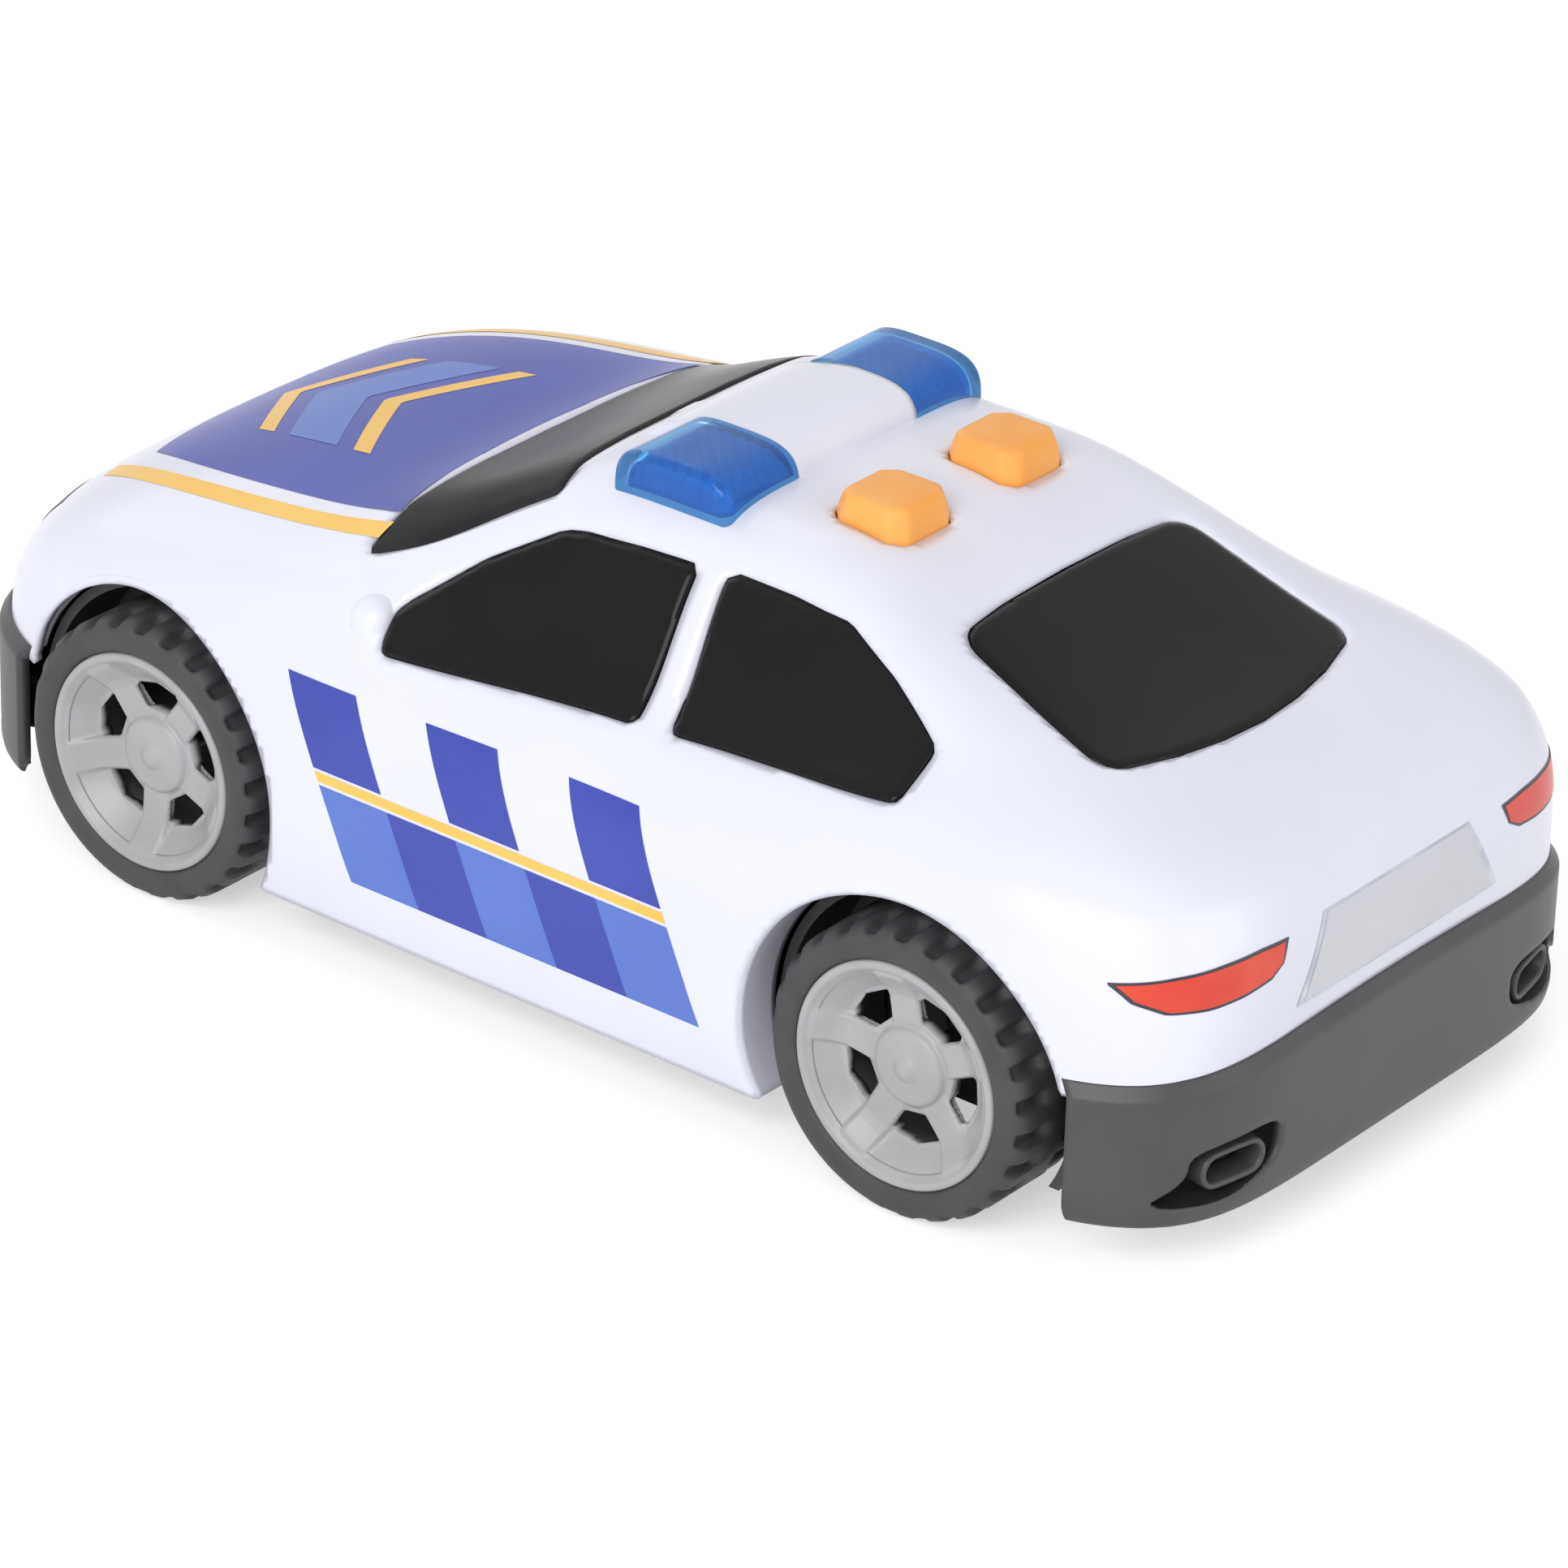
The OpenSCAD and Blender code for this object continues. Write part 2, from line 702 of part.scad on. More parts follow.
// Each ends in the middle of the wall, at the lowest corner of its top
module boss(place, foot, d, bore_d, bore_depth) {
    top = min([for (i = [-1, 1]) for (j = [-1, 1])
        skin_height(place[0] + i * d / 2, place[1] + j * d / 2, shell_wall / 2)]);
    translate([place[0], place[1], foot])
        difference() {
            cylinder(d = d, h = top - foot);
            translate([0, 0, -overrun])
                cylinder(d = bore_d, h = bore_depth + overrun);
        }
}

// Door mirrors moulded on the shell
mirror_x = 31.6;
mirror_y = 50.5;
mirror_z = 58;
mirror_run = 2;
mirror_tip_share = 0.7;
module door_mirror() {
    rise = (mirror_height - mirror_width) / 2;
    tip_d = mirror_width * mirror_tip_share;
    hull() {
        for (side = [-1, 1])
            translate([mirror_x, mirror_y + mirror_width / 2, mirror_z + side * rise])
                sphere(d = mirror_width, $fn = 14);
        translate([mirror_x + mirror_run, mirror_y + tip_d / 2, mirror_z])
            sphere(d = tip_d, $fn = 12);
        translate([mirror_x + mirror_run / 2, mirror_y - mirror_width / 2, mirror_z - rise])
            sphere(d = mirror_width, $fn = 12);
    }
}

// Flange round the wheel arches, inside the skin
module arch_flanges() {
    intersection() {
        skin_body(shell_wall / 2);
        union()
            for (end = [-1, 1]) for (side = [-1, 1])
                translate([end * axle_x, side * (half_width - arch_depth / 2), axle_z])
                    rotate([90, 0, 0])
                        difference() {
                            cylinder(r = arch_r + arch_flange, h = arch_depth, center = true, $fn = 96);
                            cylinder(r = arch_r, h = arch_depth + 2 * overrun, center = true, $fn = 96);
                        }
    }
}

// The bumpers cover the ends of the shell, which stop above them
shell_end_height = bumper_top - bumper_bevel;
end_cut_share = 0.8;
module end_cuts() {
    for (end = [0, 180])
        rotate([0, 0, end])
            translate([axle_x + arch_r * end_cut_share, -half_width - overrun, 0])
                cube([half_length, shell_width + 2 * overrun, shell_end_height]);
}

module body_shell() {
    color("#eef0fb") {
        difference() {
            union() {
                skin_shell();
                arch_flanges();
                bridge();
            }
            for (end = [-1, 1])
                translate([end * axle_x, 0, axle_z])
                    rotate([90, 0, 0])
                        cylinder(r = arch_r, h = shell_width + 2 * overrun, center = true, $fn = 96);
            end_cuts();
            top_prism(screen_points, pane_corner, 0);
            top_prism(back_points, back_corner, 0);
            for (side = [0, 1])
                mirror([0, side, 0]) {
                    side_prism(front_pane_shares, 0);
                    side_prism(rear_pane_shares, 0);
                    lens_opening();
                    button_opening();
                }
        }
        for (p = post_places)
            boss(p, board_top, post_d, board_screw_d + 2 * screw_fit, board_screw_length);
        for (p = boss_places)
            boss(p, boss_foot, boss_d, screw_d + 2 * screw_fit, shell_screw_length);
        for (side = [0, 1])
            mirror([0, side, 0])
                door_mirror();
    }
}

// Bumpers: a profile carried round the plan of the shell
function plan_reach(a, out) =
    let (power = plan_power(cos(a)))
    pow(pow(abs(cos(a)) / (half_length + out), power)
        + pow(abs(sin(a)) / (half_width + out), power), -1 / power);
function plan_point(a, out, z) = [plan_reach(a, out) * cos(a), plan_reach(a, out) * sin(a), z];
function bumper_half_angle(end) = atan2(plan_width(end * (axle_x + bumper_end), 0), axle_x + bumper_end);
bumper_steps = 36;
function bumper_crest(a) =
    bumper_top + bumper_arch * (1 - pow(plan_point(a, 0, 0)[1] / half_width, 2));

// Closed band between two angles, from rings of points
module band(rings) {
    count = len(rings[0]);
    rows = len(rings);
    polyhedron(
        points = [for (r = rings) each r],
        faces = concat(
            [for (i = [0 : rows - 2]) for (j = [0 : count - 1])
                let (a = i * count)
                let (k = (j + 1) % count)
                each cell(a + j, a + k, a + count + k, a + count + j, true)],
            [[for (j = [count - 1 : -1 : 0]) j]],
            [[for (j = [0 : count - 1]) (rows - 1) * count + j]]
        )
    );
}
bumper_foot_tuck = 1;
bumper_lip_gap = 0.4;
bumper_foot_rise = 3;
function bumper_ring(a) =
    let (crest = bumper_crest(a))
    let (inner = bumper_stand - bumper_wall)
    [
        plan_point(a, bumper_stand - bumper_foot_tuck, bumper_foot),
        plan_point(a, bumper_stand, bumper_foot + bumper_foot_rise),
        plan_point(a, bumper_stand, crest - bumper_bevel),
        plan_point(a, bumper_lip_gap, crest),
        plan_point(a, bumper_lip_gap, shell_end_height),
        plan_point(a, inner, shell_end_height - seat_gap),
        plan_point(a, inner, bumper_foot)
    ];
function pocket_ring(a, out, back, low, high) = [
    plan_point(a, out, low),
    plan_point(a, out, high),
    plan_point(a, back, high),
    plan_point(a, back, low)
];
pocket_low = 12;
pocket_high = pocket_low + pocket_height;
pocket_steps = 8;
pocket_start = 13.5;
pocket_end = 23.4;
pocket_wall = 1.4;
intake_half_angle = 9;
slat_height = 1.6;
rear_pockets = [[pocket_start, pocket_end], [-pocket_end, -pocket_start]];
front_pockets = concat(rear_pockets, [[-intake_half_angle, intake_half_angle]]);
module pocket_block(from, to, grow, out) {
    back = bumper_stand - pocket_depth - grow;
    spread = asin(grow / half_length);
    band([for (k = [0 : pocket_steps])
        pocket_ring(from - spread + (to - from + 2 * spread) * k / pocket_steps, out, back,
                    pocket_low - grow, pocket_high + grow)]);
}
tab_length = 14;
tab_width = 12;
tab_side = 22;
tab_thickness = 3.4;
tab_screw_out = 9;
tab_x = half_length + bumper_stand - bumper_wall - tab_length;
tab_places = [for (side = [-1, 1]) [tab_x + tab_length - tab_screw_out, side * tab_side]];
module bumper(end, pockets) {
    middle = end > 0 ? 0 : 180;
    reach = bumper_half_angle(end);
    band_angles = [for (k = [0 : bumper_steps]) middle + reach * (2 * k / bumper_steps - 1)];
    difference() {
        union() {
            band([for (a = band_angles) bumper_ring(a)]);
            for (p = pockets)
                pocket_block(middle + p[0], middle + p[1], pocket_wall, bumper_stand - bumper_wall / 2);
            rotate([0, 0, middle])
                for (p = tab_places)
                    translate([tab_x, p[1] - tab_width / 2, base_top + seat_gap])
                        cube([tab_length + bumper_wall / 2, tab_width, tab_thickness]);
        }
        for (p = pockets)
            pocket_block(middle + p[0], middle + p[1], 0, bumper_stand + overrun);
        rotate([0, 0, middle])
            for (p = tab_places)
                translate([p[0], p[1], base_top - overrun])
                    cylinder(d = screw_d + 2 * screw_fit, h = tab_thickness + 2 * overrun);
    }
}
pipe_angle = (pocket_start + pocket_end) / 2;
pipe_length = 4.4;
module stadium(width, height) {
    square([width - height, height], center = true);
    for (side = [-1, 1])
        translate([side * (width - height) / 2, 0])
            circle(d = height);
}
module tail_pipe(a) {
    back = plan_point(a, bumper_stand - pocket_depth, pocket_low + pocket_height / 2);
    ahead = plan_point(a + 1, 0, 0) - plan_point(a - 1, 0, 0);
    turn = atan2(ahead[1], ahead[0]);
    translate(back)
        rotate([0, 0, turn])
            rotate([90, 0, 0])
                translate([0, 0, -overrun / 2])
                    linear_extrude(pipe_length)
                        difference() {
                            stadium(pipe_width, pipe_height);
                            stadium(pipe_width - 2 * pipe_wall, pipe_height - 2 * pipe_wall);
                        }
}
module rear_bumper() {
    color("#4a474a") {
        bumper(-1, rear_pockets);
        tail_pipe(180 + pipe_angle);
        tail_pipe(180 - pipe_angle);
    }
}
module front_bumper() {
    color("#4a474a") {
        bumper(1, front_pockets);
        for (k = [1, 2]) {
            middle = pocket_low + k * pocket_height / 3;
            band([for (i = [0 : pocket_steps])
                pocket_ring(intake_half_angle * (2 * i / pocket_steps - 1), 0,
                            bumper_stand - pocket_depth - pocket_wall / 2,
                            middle - slat_height / 2, middle + slat_height / 2)]);
        }
    }
}
bumper_screw_length = 5;
module screw(d, head_d, head, length) {
    cylinder(d = head_d, h = head);
    cylinder(d = d, h = head + length);
}
module bumper_screws() {
    color("#b9bcc0")
        for (end = [0, 180])
            rotate([0, 0, end])
                for (p = tab_places)
                    translate([p[0], p[1], sill_height])
                        screw(screw_d, screw_head_d, screw_head - seat_gap,
                              bumper_screw_length - screw_head);
}

// Base: a plate that closes the shell, with wheel tubs, axle bearings and the battery box
bearing_width = 6;
bearing_length = 12;
bearing_inset = 2.6;
bearing_side = tyre_inner - bearing_width - bearing_inset;
bearing_cap = 4;
hub_play = 0.4;
bay_gap = 2;
bay_width = tyre_inner - bay_gap;
bay_wall = 1.2;
tub_wall = 1.6;
tub_r = arch_r - base_gap;
tub_length = 13;
box_wall = 1.6;
cell_gap = 0.5;
spring_room = 4.5;
cell_pitch = cell_d + cell_gap;
box_length = cell_length + 2 * spring_room;
box_width = 2 * cell_pitch + cell_gap;
box_height = cell_d + 2 * cell_gap;
door_tongue = 2.5;
door_tab = 8.5;
door_back = -box_length / 2 - door_tongue;
door_length = box_length + door_tongue + door_tab;
door_width = box_width + 2 * box_wall;
door_screw_x = (box_length + door_tab + box_wall) / 2;
frame_wall = door_gap + box_wall;
speaker_x = 57;
grille_hole_d = 2.2;
grille_pitch = 4;
grille_rings = 2;
base_half_length = half_length + bumper_stand - bumper_wall - base_gap;
base_half_width = half_width - shell_wall - sill_tuck - base_gap;
base_steps = 120;
base_corner_side = 46;
cell_z = sill_height + door_plate + cell_gap + cell_d / 2;
box_top = cell_z + cell_d / 2 + cell_gap;

function base_point(a) =
    let (power = plan_power(cos(a)))
    let (reach = pow(pow(abs(cos(a)) / base_half_length, power)
                     + pow(abs(sin(a)) / base_half_width, power), -1 / power))
    [reach * cos(a), reach * sin(a)];
// Footprint of a bumper pocket with a gap round it
module pocket_plan(from, to) {
    grow = pocket_wall + base_gap;
    spread = asin(grow / half_length);
    function line(out) = [for (k = [0 : pocket_steps])
        let (p = plan_point(from - spread + (to - from + 2 * spread) * k / pocket_steps, out, 0))
        [p[0], p[1]]];
    outer = line(bumper_stand);
    inner = line(bumper_stand - pocket_depth - grow);
    polygon(concat(outer, [for (k = [pocket_steps : -1 : 0]) inner[k]]));
}
module base_shape() {
    reach = arch_r + arch_flange + base_gap;
    difference() {
        polygon([for (k = [0 : base_steps - 1]) base_point(360 * k / base_steps)]);
        for (end = [-1, 1]) for (side = [-1, 1])
            translate([end * axle_x - reach, side > 0 ? bay_width : -half_width - bay_width])
                square([2 * reach, half_width]);
        for (end = [-1, 1]) for (side = [-1, 1])
            translate([end * (axle_x + half_length / 2), side * (base_corner_side + half_width / 2)])
                square([half_length, half_width], center = true);
        for (p = front_pockets)
            pocket_plan(p[0], p[1]);
        for (p = rear_pockets)
            pocket_plan(180 + p[0], 180 + p[1]);
    }
}
module bearings() {
    for (end = [-1, 1]) for (side = [-1, 1])
        translate([end * axle_x - bearing_length / 2,
                   side > 0 ? bearing_side : -bearing_side - bearing_width, base_top - seat_gap])
            cube([bearing_length, bearing_width, axle_z + bearing_cap - base_top]);
}
module wheel_tubs() {
    for (end = [-1, 1]) for (side = [-1, 1])
        translate([end * axle_x, 0, axle_z])
            rotate([side > 0 ? -90 : 90, 0, 0])
                translate([0, 0, bay_width - bay_wall])
                    difference() {
                        cylinder(r = tub_r, h = tub_length, $fn = 96);
                        translate([0, 0, bay_wall])
                            cylinder(r = tub_r - tub_wall, h = tub_length, $fn = 96);
                        translate([0, 0, -overrun])
                            cylinder(d = axle_d + 2 * bearing_cap, h = bay_wall + 2 * overrun);
                    }
}
module base() {
    color("#3d3b3f")
        difference() {
            union() {
                translate([0, 0, sill_height])
                    linear_extrude(base_plate)
                        base_shape();
                bearings();
                intersection() {
                    wheel_tubs();
                    translate([-half_length, -half_width, sill_height])
                        cube([shell_length, shell_width, roof_height]);
                }
                translate([-box_length / 2 - box_wall, -door_width / 2, sill_height])
                    cube([box_length + 2 * box_wall, door_width, box_top + box_wall - sill_height]);
                translate([door_back - frame_wall, -door_width / 2 - frame_wall, sill_height])
                    cube([door_length + 2 * frame_wall, door_width + 2 * frame_wall,
                          door_plate + frame_wall]);
                translate([door_screw_x, 0, sill_height + door_plate + door_gap])
                    cylinder(d = boss_d, h = box_height - door_plate);
                translate([speaker_x, 0, sill_height])
                    difference() {
                        cylinder(d = speaker_d + 2 * (box_wall + base_gap), h = speaker_height);
                        cylinder(d = speaker_d + 2 * base_gap, h = 3 * speaker_height, center = true);
                    }
            }
            translate([-box_length / 2, -box_width / 2, sill_height - overrun])
                cube([box_length, box_width, box_top - sill_height + overrun]);
            translate([door_back - door_gap, -door_width / 2 - door_gap, sill_height - overrun])
                cube([door_length + 2 * door_gap, door_width + 2 * door_gap,
                      door_plate + door_gap + overrun]);
            translate([door_screw_x, 0, sill_height])
                cylinder(d = screw_d + 2 * screw_fit, h = box_height);
            for (end = [-1, 1])
                translate([end * axle_x, 0, axle_z])
                    rotate([90, 0, 0])
                        cylinder(r = axle_d / 2 + axle_play, h = shell_width, center = true);
            for (p = boss_places)
                screw_hole(p);
            for (end = [0, 180])
                rotate([0, 0, end])
                    for (p = tab_places)
                        screw_hole(p);
            for (ring = [0 : grille_rings]) for (k = [0 : max(6 * ring - 1, 0)])
                translate([speaker_x, 0, 0])
                    rotate([0, 0, ring > 0 ? 60 * k / ring : 0])
                        translate([ring * grille_pitch, 0, sill_height - overrun])
                            cylinder(d = grille_hole_d, h = base_plate + 2 * overrun);
        }
}
module screw_hole(p) {
    translate([p[0], p[1], sill_height - overrun]) {
        cylinder(d = screw_d + 2 * hole_gap, h = base_plate + 2 * overrun);
        cylinder(d = screw_head_d + 2 * hole_gap, h = overrun + screw_head - seat_gap);
    }
}
module shell_screws() {
    color("#b9bcc0")
        for (p = boss_places)
            translate([p[0], p[1], sill_height])
                screw(screw_d, screw_head_d, screw_head - seat_gap, shell_screw_length - screw_head);
}
module battery_door() {
    color("#3d3b3f")
        difference() {
            translate([door_back, -door_width / 2, sill_height])
                cube([door_length, door_width, door_plate]);
            translate([door_screw_x, 0, sill_height - overrun]) {
                cylinder(d = screw_d + 2 * hole_gap, h = door_plate + 2 * overrun);
                cylinder(d = screw_head_d + 2 * hole_gap, h = overrun + door_plate / 2);
            }
        }
}
door_screw_length = 10;
module door_screw() {
    color("#b9bcc0")
        translate([door_screw_x, 0, sill_height])
            screw(screw_d, screw_head_d, door_plate / 2, door_screw_length);
}
magnet_share = 0.6;
frame_share = 0.4;
module speaker() {
    magnet_d = speaker_d * magnet_share;
    frame_height = speaker_height * frame_share;
    color("#55565a")
        translate([speaker_x, 0, base_top + seat_gap]) {
            difference() {
                cylinder(d = speaker_d, h = frame_height);
                translate([0, 0, -overrun])
                    cylinder(d1 = speaker_d - 2 * box_wall, d2 = magnet_d / 2,
                             h = frame_height + overrun - box_wall);
            }
            translate([0, 0, frame_height])
                cylinder(d = magnet_d, h = speaker_height - frame_height);
        }
}
tip_d = 5;
tip_length = 1;
module batteries() {
    color("#8a9a6a")
        for (side = [-1, 1])
            translate([-side * cell_length / 2, side * cell_pitch / 2, cell_z])
                rotate([0, side * 90, 0]) {
                    cylinder(d = cell_d, h = cell_length);
                    cylinder(d = tip_d, h = cell_length + tip_length);
                }
}
contact_plate = 0.5;
contact_width = 11;
spring_share = 0.8;
module battery_contacts() {
    reach = spring_room - contact_plate - seat_gap;
    color("#d0d2d6")
        for (side = [-1, 1]) {
            translate([-side * (box_length / 2 - seat_gap), side * cell_pitch / 2, cell_z])
                rotate([0, side * 90, 0]) {
                    translate([-contact_width / 2, -contact_width / 2, 0])
                        cube([contact_width, contact_width, contact_plate]);
                    cylinder(d1 = contact_width * spring_share, d2 = tip_d, h = reach);
                }
            translate([side * (box_length / 2 - seat_gap), side * cell_pitch / 2, cell_z])
                rotate([0, -side * 90, 0]) {
                    translate([-contact_width / 2, -contact_width / 2, 0])
                        cube([contact_width, contact_width, contact_plate]);
                    cylinder(d = tip_d, h = reach - tip_length);
                }
        }
}

// Axles and wheels
axle_fit = 0.02;
axle_inset = 6;
axle_length = 2 * (wheel_face - axle_inset);
module axle(end) {
    color("#c4c6ca")
        translate([end * axle_x, 0, axle_z])
            rotate([90, 0, 0])
                cylinder(d = axle_d, h = axle_length, center = true);
}
module front_axle() { axle(1); }
module rear_axle() { axle(-1); }

// Rim: lip, conical bowl, spoke plate with windows, barrel and hub, turned about its axle
rim_r = rim_d / 2;
barrel_wall = 1.6;
hub_bump = 1.4;
hub_bump_d = 5;
hub_knob = 0.8;
window_margin = 1.2;
bowl_run = 5.6;
window_rim = 0.4;
bowl_foot_r = rim_r - bowl_run;
window_inner_r = hub_d / 2 + window_margin;
window_outer_r = bowl_foot_r - window_rim;
spoke_width = 5.6;
tube_d = 9;
hub_foot = tyre_inner - bearing_side - bearing_width - hub_play;
module rim_profile() {
    face = tyre_width;
    plate_top = face - rim_dish;
    difference() {
        union() {
            square([rim_r, face]);
            translate([0, -hub_foot])
                square([tube_d / 2, hub_foot + overrun]);
        }
        polygon([
            [0, face + overrun], [rim_r - rim_lip, face + overrun], [rim_r - rim_lip, face - seat_gap],
            [bowl_foot_r, plate_top], [0, plate_top]
        ]);
        polygon([
            [tube_d / 2, -overrun], [rim_r - barrel_wall, -overrun], [rim_r - barrel_wall, face - spoke_plate],
            [bowl_foot_r, plate_top - spoke_plate], [tube_d / 2, plate_top - spoke_plate]
        ]);
    }
    polygon([
        [0, plate_top - overrun], [hub_d / 2, plate_top - overrun],
        [hub_d / 2 - hub_bump / 2, plate_top + hub_bump], [hub_bump_d / 2, plate_top + hub_bump],
        [hub_bump_d / 3, plate_top + hub_bump + hub_knob], [0, plate_top + hub_bump + hub_knob]
    ]);
}
module spoke_window() {
    half_gap = spoke_width / 2;
    step = 180 / spoke_count;
    intersection() {
        difference() {
            circle(r = window_outer_r);
            circle(r = window_inner_r);
        }
        polygon([
            [half_gap / tan(step), half_gap],
            [half_gap / tan(step) + rim_d, half_gap],
            [rim_d * cos(2 * step) + half_gap * sin(2 * step),
             rim_d * sin(2 * step) - half_gap * cos(2 * step)]
        ]);
    }
}
module rim(end, side, phase) {
    color("#b0afb2")
        translate([end * axle_x, side * tyre_inner, axle_z])
            rotate([side > 0 ? -90 : 90, 0, 0])
                difference() {
                    rotate_extrude()
                        rim_profile();
                    for (k = [0 : spoke_count - 1])
                        rotate([0, 0, phase + 360 * k / spoke_count])
                            translate([0, 0, tyre_width - rim_dish - spoke_plate - overrun])
                                linear_extrude(spoke_plate + rim_dish)
                                    spoke_window();
                    translate([0, 0, -hub_foot - overrun])
                        cylinder(d = axle_d + 2 * axle_fit,
                                 h = axle_length / 2 - tyre_inner + hub_foot + overrun);
                }
}
rim_turn_front = 17;
rim_turn_rear = -10;
module rim_front_left() { rim(1, 1, rim_turn_front); }
module rim_front_right() { rim(1, -1, -rim_turn_front); }
module rim_rear_left() { rim(-1, 1, rim_turn_rear); }
module rim_rear_right() { rim(-1, -1, -rim_turn_rear); }

// Tyre: a rounded ring with notches cut in both shoulders
tyre_r = tyre_d / 2;
tyre_shoulder = 2.2;
tyre_fit = 0.05;
notch_length = 5.2;
notch_share = 0.42;
module tyre_profile() {
    inner = rim_r + tyre_fit;
    translate([inner, 0])
        square([tyre_r - tyre_shoulder - inner, tyre_width]);
    translate([inner, tyre_shoulder])
        square([tyre_r - inner, tyre_width - 2 * tyre_shoulder]);
    for (z = [tyre_shoulder, tyre_width - tyre_shoulder])
        translate([tyre_r - tyre_shoulder, z])
            circle(r = tyre_shoulder);
}
module tyre(end, side) {
    notch_width = notch_share * PI * tyre_d / notch_count;
    color("#58565a")
        translate([end * axle_x, side * tyre_inner, axle_z])
            rotate([side > 0 ? -90 : 90, 0, 0])
                difference() {
                    rotate_extrude($fn = 96)
                        tyre_profile();
                    for (z = [-overrun, tyre_width - notch_length]) for (k = [0 : notch_count - 1])
                        rotate([0, 0, 360 * k / notch_count])
                            translate([tyre_r - notch_depth, -notch_width / 2, z])
                                cube([notch_depth + overrun, notch_width, notch_length + overrun]);
                }
}
module tyre_front_left() { tyre(1, 1); }
module tyre_front_right() { tyre(1, -1); }
module tyre_rear_left() { tyre(-1, 1); }
module tyre_rear_right() { tyre(-1, -1); }

body_shell();
windscreen();
rear_window();
front_window_left();
front_window_right();
rear_window_left();
rear_window_right();
beacon_lens_left();
beacon_lens_right();
button_left();
button_right();
rubber_dome_left();
rubber_dome_right();
circuit_board();
beacon_diodes();
board_screws();
front_bumper();
rear_bumper();
bumper_screws();
base();
shell_screws();
speaker();
batteries();
battery_contacts();
battery_door();
door_screw();
front_axle();
rear_axle();
rim_front_left();
rim_front_right();
rim_rear_left();
rim_rear_right();
tyre_front_left();
tyre_front_right();
tyre_rear_left();
tyre_rear_right();
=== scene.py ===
import json
import bpy
import numpy as np
from mathutils import Matrix

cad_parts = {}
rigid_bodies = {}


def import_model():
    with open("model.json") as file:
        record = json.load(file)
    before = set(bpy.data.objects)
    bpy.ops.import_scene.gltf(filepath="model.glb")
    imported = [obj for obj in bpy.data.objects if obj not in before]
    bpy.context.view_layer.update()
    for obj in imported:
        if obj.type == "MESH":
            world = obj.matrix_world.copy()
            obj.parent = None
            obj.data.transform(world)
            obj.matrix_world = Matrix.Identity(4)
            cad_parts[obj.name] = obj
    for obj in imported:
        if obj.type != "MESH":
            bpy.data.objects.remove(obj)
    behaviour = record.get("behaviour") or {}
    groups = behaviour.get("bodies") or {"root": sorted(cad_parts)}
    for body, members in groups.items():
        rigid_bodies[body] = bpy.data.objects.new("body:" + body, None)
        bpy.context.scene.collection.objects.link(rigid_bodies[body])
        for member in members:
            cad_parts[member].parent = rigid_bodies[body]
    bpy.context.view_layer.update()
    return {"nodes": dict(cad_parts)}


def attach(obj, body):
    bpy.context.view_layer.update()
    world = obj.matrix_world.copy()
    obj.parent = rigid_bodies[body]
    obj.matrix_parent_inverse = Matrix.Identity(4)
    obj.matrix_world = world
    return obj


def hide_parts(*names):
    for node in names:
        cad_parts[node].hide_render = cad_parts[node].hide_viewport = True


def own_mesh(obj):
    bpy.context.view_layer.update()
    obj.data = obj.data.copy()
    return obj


# Toy patrol car: all sizes in millimetres, +X front, +Y left, +Z up, ground at z = 0
for spare in list(bpy.data.objects):
    bpy.data.objects.remove(spare)
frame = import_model()
print("frame loaded", len(frame["nodes"]), "nodes")
mm = 0.001   # metres

# body form, the same numbers as the solid model
form = dict(length=241, width=121, roof=85.5, waist=24, sill=10, tuck=1.4, bonnet=69, boot=66, dip=7,
            dipMid=-0.116, dipReach=0.465, frontPlan=5, rearPlan=6, nose=3, tail=5.8, frontSection=4,
            rearSection=5.4, cabinMid=-20, cabinWidth=98, belt=57, screenRun=62, backRun=73.5, backFoot=64,
            cabinPower=6, roofPower=8, blend=14, taper=0.478, rake=1.72, backRake=2.28, wall=2)
wheelSpot = dict(x=74, z=23.3, archR=28, archDepth=9)
leastSpan, leastLevel = 1e-6, 1e-3   # keep divisions and powers finite
search = dict(around=125, above=110, beside=80, endFrom=60, halvings=34)   # where the skin is looked for


# one quarter of a rounded outline: (1 - |t|^p)^(1/p)
def roundOff(t, p):
    return np.maximum(1 - np.minimum(np.abs(t), 1) ** p, 0) ** (1 / p)


# half width of the lower body at station x, drawn in by d
def planWidth(x, d):
    p = np.where(x > 0, form["frontPlan"], form["rearPlan"])
    return (form["width"] / 2 - d) * roundOff(x / (form["length"] / 2 - d), p)


# crown of bonnet and boot, with a dip beside the doors, rounded off to nose and tail
def crownHeight(x, d):
    half = form["length"] / 2
    t = (x / half - form["dipMid"]) / form["dipReach"]
    line = form["boot"] + (form["bonnet"] - form["boot"]) * (x / form["length"] + 0.5)
    line = line - form["dip"] * np.maximum(1 - t * t, 0) ** 2
    p = np.where(x > 0, form["nose"], form["tail"])
    return form["waist"] + (line - d - form["waist"]) * roundOff(x / (half - d), p)


